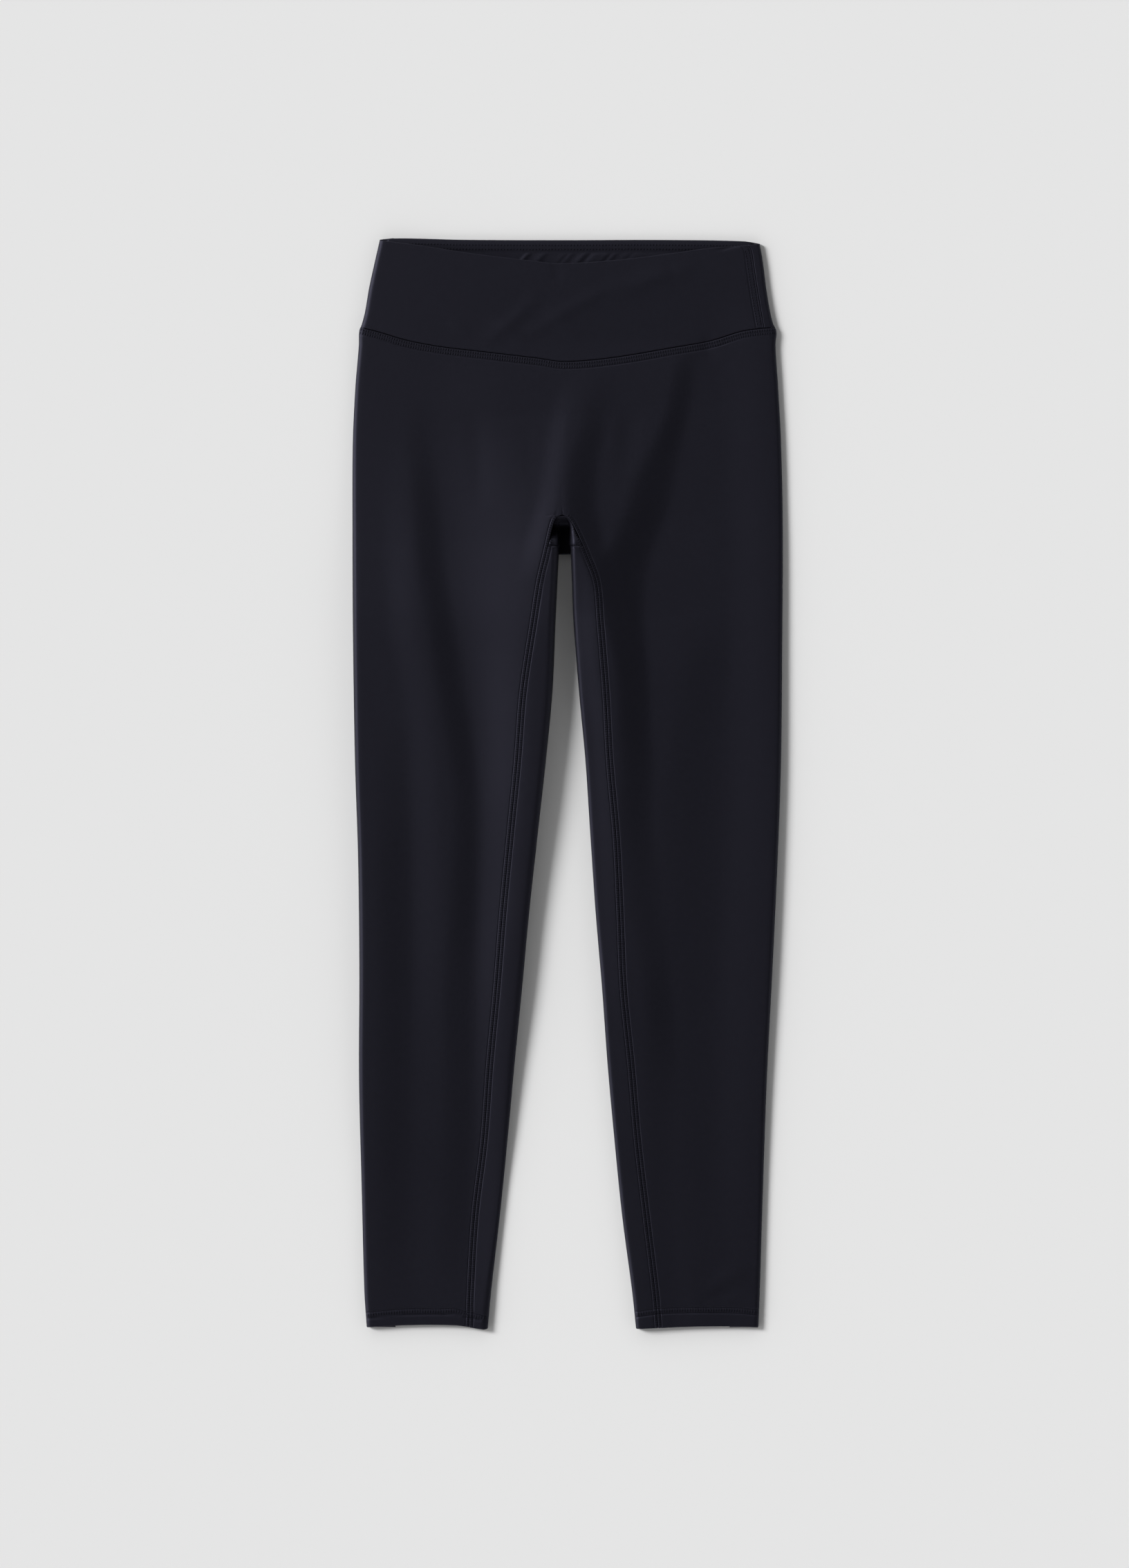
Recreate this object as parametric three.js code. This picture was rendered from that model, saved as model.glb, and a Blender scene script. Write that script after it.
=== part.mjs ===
// A pair of high-waisted leggings in fine black knit, laid flat on its back.
//
// Millimetres. X runs to the right as the garment is seen from above, Y towards the waist and Z up
// from the surface that it lies on. The origin is on that surface, under the middle of the garment.
//
// Each cut piece is a wall of even thickness, worked out from the garment's outer skin. Seen across,
// the skin is a flattened tube: a flat underside, a rounded fold at each side and an upper side whose
// height comes from a base and a few long, soft folds. Pieces stop half a seam gap from their seam.

import * as THREE from "three";

// Walls and gaps
const KNIT = 1.0;
const YOKE_WALL = 1.6;
const TURN_UP_WALL = 1.5;
const TURN_UP_DEPTH = 13.5;
const TURN_UP_STEP = 1.5;
const HALF_GAP = 0.15;
const LAYER_GAP = 0.3;

// Heights along the garment that more than one piece uses
const ARCH_TOP = 233.2;
const GUSSET_HEAD = 231.0;
const GUSSET_FOOT = 206.0;
const CROTCH_FOLD = 199.0;
const BACK_SEAM = 396.3;
const CENTRE_BACK = -2.55;
const CENTRE_FRONT = -4.6;

// How far pieces wrap round the outer folds, and how wide the folds are
const SIDE_WRAP = 25;
const YOKE_WRAP = 12;
const YOKE_SIDE_STRIP = 7;
const OUTER_SHOULDER = 4;
const INNER_SHOULDER = 9;
const UNDER_ROLL = 2.4;
const ROLL_MIDDLE = 0.46;
const LIFT_REACH = 44;

// The gusset: two layers at the crotch, and the place where its floor starts to climb to the arch
const CROTCH_LAYERS = 2.6;
const GUSSET_RISE = 212;
const FLANK_POWER = 2.2;
const ARCH_ROWS = [231.4, 227, 219, 212];
const STEEPEST_CUT = 0.75;

// Steps across and along
const FOLD_STEPS = 3;
const TOP_STEPS = 11;
const STRIP_STEPS = 2;
const BODY_ROWS = 8;
const HIP_ROWS = 7;
const LEG_ROWS = 23;
const YOKE_ROWS = 5;
const YOKE_STEPS = 18;
const GUSSET_STEPS = 3;
const UNDER_SHARES = [0, 0.4, 0.62, 0.76, 0.88, 1];

// Rough places of the folds and of the yoke's side seam, good enough to find a row's height there
const NEAR_OUTER_FOLD = 180;
const NEAR_INNER_FOLD = 60;
const NEAR_YOKE_SIDE = 162;

// Outer folds of the whole garment, from the waist down
const OUTER_EDGES = [
  { y: 473, left: -162.8, right: 165.8 },
  { y: 453, left: -167.4, right: 169.3 },
  { y: 430, left: -172.4, right: 172.2 },
  { y: 410, left: -175.8, right: 175.6 },
  { y: 399, left: -178.6, right: 178.3 },
  { y: 393, left: -180.8, right: 181.0 },
  { y: 380, left: -181.2, right: 180.2 },
  { y: 344, left: -184.2, right: 182.5 },
  { y: 296, left: -186.4, right: 185.0 },
  { y: 224, left: -186.7, right: 186.5 },
  { y: 128, left: -186.2, right: 186.1 },
  { y: 20, left: -184.5, right: 185.0 },
  { y: -64, left: -181.8, right: 182.1 },
  { y: -160, left: -180.7, right: 177.6 },
  { y: -256, left: -181.0, right: 172.7 },
  { y: -352, left: -178.7, right: 169.3 },
  { y: -440, left: -176.4, right: 166.6 },
  { y: -473, left: -174.2, right: 165.3 },
];

// Inseams, which lie on the upper side, and the inner folds of the legs
const LEG_LINES = [
  { y: 233.2, leftSeam: -4.6, leftFold: -4.6, rightFold: -4.6, rightSeam: -4.6 },
  { y: 231.4, leftSeam: -8.6, leftFold: -7.0, rightFold: -3.0, rightSeam: -1.0 },
  { y: 227, leftSeam: -11.6, leftFold: -7.4, rightFold: 0.5, rightSeam: 2.9 },
  { y: 219, leftSeam: -14.0, leftFold: -7.6, rightFold: 2.2, rightSeam: 7.4 },
  { y: 206, leftSeam: -17.0, leftFold: -7.7, rightFold: 2.6, rightSeam: 13.3 },
  { y: 199, leftSeam: -18.6, leftFold: -7.8, rightFold: 2.7, rightSeam: 16.2 },
  { y: 175, leftSeam: -24.2, leftFold: -8.9, rightFold: 3.6, rightSeam: 25.0 },
  { y: 143, leftSeam: -29.2, leftFold: -10.4, rightFold: 4.8, rightSeam: 27.9 },
  { y: 80, leftSeam: -38.7, leftFold: -13.2, rightFold: 9.7, rightSeam: 32.9 },
  { y: 20, leftSeam: -43.5, leftFold: -18.9, rightFold: 15.3, rightSeam: 36.2 },
  { y: -45, leftSeam: -49.9, leftFold: -26.1, rightFold: 19.6, rightSeam: 41.9 },
  { y: -111, leftSeam: -56.2, leftFold: -33.3, rightFold: 24.1, rightSeam: 45.2 },
  { y: -177, leftSeam: -61.5, leftFold: -39.5, rightFold: 29.7, rightSeam: 48.1 },
  { y: -243, leftSeam: -67.7, leftFold: -46.1, rightFold: 34.5, rightSeam: 54.7 },
  { y: -308, leftSeam: -72.6, leftFold: -52.1, rightFold: 40.4, rightSeam: 60.3 },
  { y: -374, leftSeam: -80.5, leftFold: -58.8, rightFold: 47.1, rightSeam: 67.9 },
  { y: -440, leftSeam: -84.5, leftFold: -66.4, rightFold: 55.8, rightSeam: 75.8 },
  { y: -473, leftSeam: -85.5, leftFold: -69.4, rightFold: 59.3, rightSeam: 78.6 },
];

// Lower seam of the yoke on the upper side, with its soft point near the middle
const YOKE_SEAM = [
  { x: -181, y: 396.3 },
  { x: -162.6, y: 391.6 },
  { x: -139.3, y: 384.7 },
  { x: -110, y: 379.2 },
  { x: -73.9, y: 374.9 },
  { x: -24.9, y: 369.1 },
  { x: -3, y: 366.3 },
  { x: 36.7, y: 369.4 },
  { x: 90, y: 378.2 },
  { x: 125.1, y: 384.7 },
  { x: 152.3, y: 392.9 },
  { x: 181, y: 396.3 },
];

// Top edges of the yoke: the front's dips, the back's is nearly level
const FRONT_EDGE = [
  { x: -164, y: 470.9 },
  { x: -127.6, y: 466.3 },
  { x: -82.8, y: 459.4 },
  { x: -33.4, y: 453.4 },
  { x: -7.2, y: 450.8 },
  { x: 42.4, y: 453.9 },
  { x: 88.4, y: 459.4 },
  { x: 119.4, y: 463.9 },
  { x: 156, y: 466.8 },
  { x: 167, y: 468.0 },
];
const BACK_EDGE = [
  { x: -164, y: 471.6 },
  { x: -148, y: 473.0 },
  { x: -88, y: 471.7 },
  { x: 0, y: 471.4 },
  { x: 77, y: 471.6 },
  { x: 152, y: 470.5 },
  { x: 167, y: 468.2 },
];

// Side seam of the yoke, which lies on the upper side at the right
const YOKE_SIDE = [
  { y: 468, x: 155.2 },
  { y: 463.6, x: 159.0 },
  { y: 447.8, x: 161.7 },
  { y: 419.4, x: 166.1 },
  { y: 396, x: 170.2 },
];

// Hem edges of the two legs
const LEFT_HEM = [
  { x: -175, y: -470.5 },
  { x: -145, y: -468.7 },
  { x: -97, y: -468.8 },
  { x: -73, y: -472.4 },
  { x: -69, y: -471.8 },
];
const RIGHT_HEM = [
  { x: 59, y: -471.8 },
  { x: 71, y: -471.4 },
  { x: 107, y: -469.9 },
  { x: 143, y: -469.7 },
  { x: 165.5, y: -470.6 },
];

// Height of the flat cloth, and how far the inner folds stand off the surface
const HEIGHTS = [
  { y: 473, base: 6.0, leftLift: 0, rightLift: 0 },
  { y: 396, base: 6.0, leftLift: 0, rightLift: 0 },
  { y: 330, base: 5.3, leftLift: 0, rightLift: 0 },
  { y: 190, base: 5.2, leftLift: 0, rightLift: 0 },
  { y: 110, base: 5.1, leftLift: 2.6, rightLift: 0.8 },
  { y: 20, base: 5.0, leftLift: 5.0, rightLift: 1.2 },
  { y: -60, base: 5.0, leftLift: 6.4, rightLift: 0.8 },
  { y: -160, base: 4.9, leftLift: 5.8, rightLift: 0.3 },
  { y: -260, base: 4.8, leftLift: 3.4, rightLift: 0 },
  { y: -350, base: 4.6, leftLift: 1.2, rightLift: 0 },
  { y: -430, base: 4.5, leftLift: 0, rightLift: 0 },
  { y: -473, base: 4.5, leftLift: 0, rightLift: 0 },
];

// Long soft folds of the upper side. Each has a spine, from the waist down, with its rise above the
// flat cloth (a trough sinks) and how far it reaches to the left and to the right.
const FOLDS = [
  {
    name: "left thigh ridge",
    spine: [
      { y: 345, x: -22, rise: 0, left: 100, right: 60 },
      { y: 284, x: -10, rise: 1.8, left: 95, right: 56 },
      { y: 236, x: -10, rise: 4.2, left: 92, right: 60 },
      { y: 188, x: -22, rise: 4.8, left: 86, right: 50 },
      { y: 110, x: -40, rise: 4.2, left: 62, right: 44 },
      { y: 20, x: -46, rise: 3.4, left: 44, right: 44 },
      { y: -100, x: -54, rise: 2.8, left: 34, right: 44 },
      { y: -250, x: -64, rise: 1.8, left: 26, right: 40 },
      { y: -400, x: -76, rise: 1.2, left: 24, right: 36 },
      { y: -474, x: -80, rise: 0.6, left: 24, right: 30 },
    ],
  },
  {
    name: "centre ridge",
    spine: [
      { y: 352, x: 22, rise: 0, left: 26, right: 40 },
      { y: 308, x: 18, rise: 1.5, left: 26, right: 38 },
      { y: 260, x: 7, rise: 2.4, left: 24, right: 36 },
      { y: 236, x: -6, rise: 2.8, left: 22, right: 36 },
      { y: 212, x: -15, rise: 1.6, left: 20, right: 34 },
      { y: 186, x: -20, rise: 0, left: 20, right: 30 },
    ],
  },
  {
    name: "right thigh ridge",
    spine: [
      { y: 378, x: 88, rise: 0, left: 60, right: 26 },
      { y: 308, x: 72, rise: 1.5, left: 62, right: 36 },
      { y: 260, x: 52, rise: 2.5, left: 56, right: 42 },
      { y: 212, x: 26, rise: 3.8, left: 46, right: 50 },
      { y: 164, x: 32, rise: 3.5, left: 40, right: 48 },
      { y: 80, x: 38, rise: 3.0, left: 40, right: 44 },
      { y: -40, x: 44, rise: 2.0, left: 40, right: 36 },
      { y: -160, x: 50, rise: 1.2, left: 36, right: 30 },
      { y: -260, x: 62, rise: 1.0, left: 36, right: 32 },
      { y: -400, x: 74, rise: 0.8, left: 36, right: 30 },
      { y: -474, x: 80, rise: 0.4, left: 30, right: 30 },
    ],
  },
  {
    name: "left outer swell",
    spine: [
      { y: 350, x: -140, rise: 0, left: 30, right: 24 },
      { y: 250, x: -142, rise: 0.7, left: 32, right: 22 },
      { y: 110, x: -134, rise: 0.9, left: 36, right: 30 },
      { y: 0, x: -120, rise: 1.1, left: 40, right: 32 },
      { y: -130, x: -118, rise: 1.3, left: 40, right: 34 },
      { y: -260, x: -120, rise: 0.5, left: 40, right: 34 },
      { y: -330, x: -124, rise: 0, left: 40, right: 34 },
    ],
  },
  {
    name: "right knee swell",
    spine: [
      { y: -120, x: 112, rise: 0, left: 26, right: 50 },
      { y: -210, x: 110, rise: 0.8, left: 22, right: 50 },
      { y: -300, x: 116, rise: 0.3, left: 24, right: 46 },
      { y: -390, x: 124, rise: 0.9, left: 26, right: 26 },
      { y: -450, x: 126, rise: 0, left: 26, right: 26 },
    ],
  },
];

// Small gathers that the elastic draws in the facing, and the soft roll of its top edge
const GATHERS = { count: 8, from: -49, to: 47, rise: 0.6, head: 460, foot: 449, stepsEach: 4 };
const ELASTIC_EDGE = { depth: 8, rise: 0.4 };
const FACING = { bed: 2.9, drop: 0.5, inset: 9, sideSteps: 4, depths: [0, 4, 8, 11.5, 16, 22, 69] };

const BLACK_KNIT = { color: 0x1b1b22, roughness: 0.82, metalness: 0 };
const BLACK_FACING = { color: 0x17171d, roughness: 0.88, metalness: 0 };

const mix = (a, b, t) => a + (b - a) * t;
const clamp01 = (t) => Math.min(1, Math.max(0, t));
const ease = (t) => clamp01(t) ** 2 * (3 - 2 * clamp01(t));

/** Slope of a named column at one row of a table, from its neighbours. */
function slopeAt(table, index, across, value) {
  const before = table[Math.max(0, index - 1)];
  const after = table[Math.min(table.length - 1, index + 1)];
  return (after[value] - before[value]) / (after[across] - before[across]);
}

/** Reads a named column of a table at a place between its rows, on a smooth curve. */
function read(table, across, value, at) {
  const falling = table[0][across] > table[table.length - 1][across];
  const beyond = (row) => (falling ? at >= row[across] : at <= row[across]);
  const next = table.findIndex(beyond);
  if (next === 0) return table[0][value];
  if (next < 0) return table[table.length - 1][value];
  const a = table[next - 1];
  const b = table[next];
  const span = b[across] - a[across];
  const t = (at - a[across]) / span;
  const startSlope = slopeAt(table, next - 1, across, value) * span;
  const endSlope = slopeAt(table, next, across, value) * span;
  const start = a[value] * (2 * t ** 3 - 3 * t ** 2 + 1) + startSlope * (t ** 3 - 2 * t ** 2 + t);
  return start + b[value] * (3 * t ** 2 - 2 * t ** 3) + endSlope * (t ** 3 - t ** 2);
}

const outer = (side, y) => read(OUTER_EDGES, "y", side, y);
const legLine = (column, y) => read(LEG_LINES, "y", column, y);
const yokeSeam = (x) => read(YOKE_SEAM, "x", "y", x);
const hem = (x) => read(x < 0 ? LEFT_HEM : RIGHT_HEM, "x", "y", x);

/** How far the underside stands off the surface beside an inner fold. */
function lift(x, y) {
  const side = x < CENTRE_FRONT ? "left" : "right";
  const fold = legLine(`${side}Fold`, y);
  const near = 1 - Math.abs(x - fold) / LIFT_REACH;
  return Math.max(0, read(HEIGHTS, "y", `${side}Lift`, y)) * ease(near);
}

/** Rise of one fold at a point of the upper side. */
function foldRise(fold, x, y) {
  const first = fold.spine[0].y;
  const last = fold.spine[fold.spine.length - 1].y;
  if (y >= first || y <= last) return 0;
  const along = (column) => read(fold.spine, "y", column, y);
  const across = x - along("x");
  const reach = across < 0 ? along("left") : along("right");
  const share = Math.min(1, Math.abs(across) / reach);
  return along("rise") * 0.5 * (1 + Math.cos(Math.PI * share));
}

/** Height of the upper side. */
function top(x, y) {
  const rises = FOLDS.map((fold) => foldRise(fold, x, y));
  return read(HEIGHTS, "y", "base", y) + lift(x, y) + rises.reduce((sum, rise) => sum + rise, 0);
}

/** Points of a fold from its upper shoulder round to the underside, `toward` -1 left or 1 right. */
function roll(edgeX, toward, y, shoulder, wall) {
  const low = lift(edgeX, y);
  const middle = mix(low, top(edgeX, y), ROLL_MIDDLE);
  const upper = top(edgeX, y) - middle;
  const lower = middle - low;
  const upperReach = Math.min(shoulder, upper ** 2 / (wall + LAYER_GAP));
  const underReach = Math.min(UNDER_ROLL, lower ** 2 / (wall + LAYER_GAP));
  const points = [];
  for (let step = -FOLD_STEPS; step <= FOLD_STEPS; step += 1) {
    const angle = (-step / FOLD_STEPS) * (Math.PI / 2);
    const over = angle >= 0;
    const x = edgeX - toward * (over ? upperReach : underReach) * (1 - Math.cos(angle));
    const height = over ? (top(x, y) - middle) * Math.sin(angle) : (middle - lift(x, y)) * Math.sin(angle);
    points.push({ x, y, z: middle + height });
  }
  return points;
}

/** Evenly spaced numbers from one value to another, both included. */
function spread(from, to, steps) {
  return Array.from({ length: steps + 1 }, (_, step) => mix(from, to, step / steps));
}

/** Joins stretches of a section end to end, dropping the point that two stretches share. */
function chain(...stretches) {
  return stretches.reduce((all, stretch) => all.concat(all.length ? stretch.slice(1) : stretch));
}

/**
 * A closed wall on one or more grids of skin points. Grids share the vertices where they meet. The
 * skin faces outwards, and the wall goes inwards from it by each point's own thickness. At a point
 * marked as cut it goes straight down, and at one marked as square it has no slant along Y, so that
 * two pieces keep their gap along a seam.
 */
function cloth(name, look, grids) {
  const skin = [];
  const index = new Map();
  const place = (point) => {
    const key = [point.x, point.y, point.z].map((value) => Math.round(value * 1000)).join();
    if (!index.has(key)) {
      index.set(key, skin.length);
      skin.push(point);
    }
    return index.get(key);
  };
  const triangles = [];
  for (const grid of grids) {
    const ids = grid.map((row) => row.map(place));
    for (let r = 0; r + 1 < ids.length; r += 1) {
      for (let c = 0; c + 1 < ids[r].length; c += 1) {
        const [a, b] = [ids[r][c], ids[r][c + 1]];
        const [d, e] = [ids[r + 1][c], ids[r + 1][c + 1]];
        triangles.push([a, d, b], [b, d, e]);
      }
    }
  }
  const faces = triangles.filter(([a, b, c]) => a !== b && b !== c && c !== a);
  const at = (id) => new THREE.Vector3(skin[id].x, skin[id].y, skin[id].z);
  const normals = skin.map(() => new THREE.Vector3());
  const edges = new Set();
  for (const [a, b, c] of faces) {
    const normal = at(b).sub(at(a)).cross(at(c).sub(at(a)));
    for (const id of [a, b, c]) normals[id].add(normal);
    for (const [from, to] of [[a, b], [b, c], [c, a]]) edges.add(`${from},${to}`);
  }
  const inner = skin.map((point, id) => {
    const normal = normals[id].normalize();
    if (point.square) normal.setY(0).normalize();
    if (!point.cut) return at(id).addScaledVector(normal, -point.wall);
    return at(id).setZ(point.z - point.wall / Math.max(STEEPEST_CUT, normal.z));
  });
  const count = skin.length;
  const indices = [];
  for (const [a, b, c] of faces) indices.push(a, b, c, c + count, b + count, a + count);
  for (const edge of edges) {
    const [from, to] = edge.split(",").map(Number);
    if (edges.has(`${to},${from}`)) continue;
    indices.push(to, from, from + count, to, from + count, to + count);
  }
  const positions = [...skin.map((_, id) => at(id)), ...inner].flatMap((v) => v.toArray());
  const geometry = new THREE.BufferGeometry();
  geometry.setAttribute("position", new THREE.Float32BufferAttribute(positions, 3));
  geometry.setIndex(indices);
  geometry.computeVertexNormals();
  const mesh = new THREE.Mesh(geometry, new THREE.MeshStandardMaterial(look));
  mesh.name = name;
  return mesh;
}

/** Rows of a leg, from the crotch fold to the hem, with the step of the turned-up hem. */
function legRows() {
  const rows = spread(0, 1, LEG_ROWS).slice(1).map((share) => ({
    wall: KNIT,
    at: (x) => mix(CROTCH_FOLD, hem(x) + TURN_UP_DEPTH + TURN_UP_STEP, share),
  }));
  rows.push({ wall: TURN_UP_WALL, at: (x) => hem(x) + TURN_UP_DEPTH });
  rows.push({ wall: TURN_UP_WALL, at: (x) => hem(x) });
  return rows;
}

/** One level row. */
const level = (y) => ({ wall: KNIT, at: () => y });

/** Marks a row of points that ends a piece at a level seam. */
const squared = (points) => points.map((point) => ({ ...point, square: true }));

/** Half of the front's section at one row: upper side, outer fold and the strip underneath. */
function frontRow(side, row) {
  const toward = side === "left" ? -1 : 1;
  const sideY = row.at(outer(side, row.at(toward * NEAR_OUTER_FOLD)));
  const shoulder = roll(outer(side, sideY), toward, sideY, OUTER_SHOULDER, row.wall);
  const inside = (y) => (y >= ARCH_TOP ? CENTRE_FRONT : legLine(`${side}Seam`, y) + toward * HALF_GAP);
  const upper = spread(0, 1, TOP_STEPS).map((share) => {
    const guess = row.at(mix(inside(sideY), shoulder[0].x, share));
    const x = mix(inside(guess), shoulder[0].x, share);
    const y = row.at(x);
    return { x, y, z: top(x, y) };
  });
  const seam = outer(side, sideY) - toward * (SIDE_WRAP - HALF_GAP);
  const fold = shoulder.map((point) => ({ ...point, y: row.at(point.x) }));
  const under = [fold[fold.length - 1], { x: seam, y: sideY, z: 0 }];
  const points = chain(upper, fold, under).map((point) => ({ ...point, wall: row.wall }));
  points[0].cut = true;
  return side === "left" ? points.reverse() : points;
}

/** The front: one piece for both legs, from the yoke seam to the hems, arched at the crotch. */
function makeFront() {
  const bodyRows = spread(0, 1, BODY_ROWS).map((share) => ({
    wall: KNIT,
    at: (x) => mix(yokeSeam(x) - HALF_GAP, ARCH_TOP, share),
  }));
  const archRows = [...ARCH_ROWS, GUSSET_FOOT, CROTCH_FOLD].map(level);
  const rows = [...bodyRows, ...archRows, ...legRows()];
  const halves = ["left", "right"].map((side) => rows.map((row) => frontRow(side, row)));
  return cloth("front", BLACK_KNIT, halves);
}

/** A back half: flat underneath, and round the inner fold of its leg onto the front. */
function makeBack(side) {
  const toward = side === "left" ? -1 : 1;
  const legTop = GUSSET_FOOT - HALF_GAP;
  const hipRows = spread(BACK_SEAM - HALF_GAP, GUSSET_FOOT + HALF_GAP, HIP_ROWS).map(level);
  const lowerRows = [level(legTop), level(CROTCH_FOLD), ...legRows()];
  const innerRoll = (y, wall) => roll(legLine(`${side}Fold`, y), -toward, y, INNER_SHOULDER, wall);
  const footOf = (y, wall) => innerRoll(Math.min(y, legTop), wall)[2 * FOLD_STEPS].x;
  const underRow = (row) => {
    const sideY = row.at(outer(side, row.at(toward * NEAR_OUTER_FOLD)));
    const start = outer(side, sideY) - toward * (SIDE_WRAP + HALF_GAP);
    return UNDER_SHARES.map((share) => {
      const x = mix(start, footOf(sideY, row.wall), share);
      const y = row.at(x);
      return { x, y, z: lift(x, y), wall: row.wall };
    });
  };
  const centreRow = (row) => {
    const y = row.at(0);
    const end = CENTRE_BACK + toward * HALF_GAP;
    return spread(footOf(y, row.wall), end, 1).map((x) => ({ x, y, z: 0, wall: row.wall }));
  };
  const wrapRow = (row) => {
    const foldY = row.at(legLine(`${side}Fold`, row.at(toward * NEAR_INNER_FOLD)));
    const fold = innerRoll(foldY, row.wall).reverse().map((point) => ({ ...point, y: row.at(point.x) }));
    const seam = legLine(`${side}Seam`, foldY) - toward * HALF_GAP;
    const strip = spread(fold[fold.length - 1].x, seam, STRIP_STEPS).map((x) => {
      const y = row.at(x);
      return { x, y, z: top(x, y) };
    });
    const points = chain(fold, strip).map((point) => ({ ...point, wall: row.wall }));
    points[points.length - 1].cut = true;
    return points;
  };
  const face = (grid) => (side === "right" ? grid.map((row) => [...row].reverse()) : grid);
  const under = [...hipRows, ...lowerRows].map(underRow);
  const last = UNDER_SHARES.length - 1;
  const wrap = lowerRows.map(wrapRow);
  wrap[0] = squared(wrap[0]);
  wrap.forEach((row, r) => {
    row[0] = under[hipRows.length + r][last];
  });
  const centre = hipRows.map(centreRow);
  under[0] = squared(under[0]);
  centre.forEach((row, r) => {
    row[0] = under[r][last];
  });
  return cloth(`back_${side}`, BLACK_KNIT, [under, centre, wrap].map(face).map((grid) => [...grid].reverse()));
}

/** Section of the gusset at one height: a flank at each seam and the low floor between them. */
function gussetRow(y) {
  const seams = [legLine("leftSeam", y) + HALF_GAP, legLine("rightSeam", y) - HALF_GAP];
  const folds = [legLine("leftFold", y), legLine("rightFold", y)];
  const rim = top(CENTRE_FRONT, y);
  const floor = mix(CROTCH_LAYERS, rim, ease((y - GUSSET_RISE) / (ARCH_TOP - GUSSET_RISE)));
  const flank = (seam, fold, share) => {
    const x = mix(seam, fold, share);
    return { x, y, z: mix(floor, top(x, y), 1 - share ** FLANK_POWER), wall: KNIT, cut: share === 0 };
  };
  const shares = spread(0, 1, GUSSET_STEPS);
  const left = shares.map((share) => flank(seams[0], folds[0], share));
  const middle = spread(folds[0], folds[1], GUSSET_STEPS).map((x) => ({ x, y, z: floor, wall: KNIT }));
  const right = shares.map((share) => flank(seams[1], folds[1], share)).reverse();
  return chain(left, middle, right);
}

/** The gusset: hangs from the arch, lies down between the legs and folds under at the crotch. */
function makeGusset() {
  const foot = GUSSET_FOOT + HALF_GAP;
  const upper = [GUSSET_HEAD, ...ARCH_ROWS.slice(1), foot].map(gussetRow);
  upper.push(squared(upper.pop()));
  const radius = CROTCH_LAYERS / 2;
  const foldY = CROTCH_FOLD + radius;
  const across = (y, z) => {
    const from = legLine("leftFold", y) + HALF_GAP;
    const to = legLine("rightFold", y) - HALF_GAP;
    return spread(from, to, GUSSET_STEPS).map((x) => ({ x, y, z, wall: KNIT }));
  };
  const shared = upper[upper.length - 1].slice(GUSSET_STEPS, 2 * GUSSET_STEPS + 1);
  const turn = spread(Math.PI / 2, -Math.PI / 2, 2 * FOLD_STEPS).map((angle) =>
    across(foldY - radius * Math.cos(angle), radius + radius * Math.sin(angle)),
  );
  const under = across(GUSSET_FOOT - HALF_GAP, 0);
  return cloth("gusset", BLACK_KNIT, [upper, [shared, ...turn, under]]);
}

/** Height along the garment of a point of the yoke, at a share of its depth below the top edge. */
const yokeFrontY = (x, share) => mix(read(FRONT_EDGE, "x", "y", x), yokeSeam(x) + HALF_GAP, share);
const yokeBackY = (x, share) => mix(read(BACK_EDGE, "x", "y", x), BACK_SEAM + HALF_GAP, share);

/** The fold of the yoke at one side: its upper points follow the front and its lower ones the back. */
function yokeFold(side, share) {
  const toward = side === "left" ? -1 : 1;
  const sideY = yokeBackY(toward * NEAR_OUTER_FOLD, share);
  const points = roll(outer(side, sideY), toward, sideY, OUTER_SHOULDER, YOKE_WALL);
  return points.map((point, step) => {
    const y = step <= FOLD_STEPS ? yokeFrontY(point.x, share) : yokeBackY(point.x, share);
    return { ...point, y, wall: YOKE_WALL };
  });
}

/** The front yoke: upper side, left fold and a strip underneath, up to the side seams. */
function makeYokeFront() {
  const rows = spread(0, 1, YOKE_ROWS).map((share) => {
    const fold = yokeFold("left", share);
    const seam = read(YOKE_SIDE, "y", "x", yokeFrontY(NEAR_YOKE_SIDE, share)) - HALF_GAP;
    const rightOfCentre = spread(CENTRE_FRONT, seam + YOKE_SIDE_STRIP, TOP_STEPS);
    rightOfCentre[TOP_STEPS] = seam;
    const upper = chain(spread(fold[0].x, CENTRE_FRONT, TOP_STEPS), rightOfCentre).map((x) => {
      const y = yokeFrontY(x, share);
      return { x, y, z: top(x, y), wall: YOKE_WALL };
    });
    const last = fold[fold.length - 1];
    const end = outer("left", last.y) + YOKE_WRAP - HALF_GAP;
    const under = [last, { ...last, x: end, y: yokeBackY(end, share) }];
    return chain(under.reverse(), fold.reverse(), upper);
  });
  return cloth("waistband_front", BLACK_KNIT, [rows]);
}

/** The back yoke: underside, right fold and the strip that shows on the front, up to the side seam. */
function makeYokeBack() {
  const rows = spread(1, 0, YOKE_ROWS).map((share) => {
    const fold = yokeFold("right", share);
    const start = outer("left", yokeBackY(-NEAR_OUTER_FOLD, share)) + YOKE_WRAP + HALF_GAP;
    const under = spread(start, fold[fold.length - 1].x, YOKE_STEPS).map((x) => {
      return { x, y: yokeBackY(x, share), z: 0, wall: YOKE_WALL };
    });
    const seam = read(YOKE_SIDE, "y", "x", yokeFrontY(NEAR_YOKE_SIDE, share)) + HALF_GAP;
    const strip = [fold[0], { ...fold[0], x: seam, y: yokeFrontY(seam, share) }];
    return chain(under, fold.reverse(), strip);
  });
  return cloth("waistband_back", BLACK_KNIT, [rows]);
}

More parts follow.
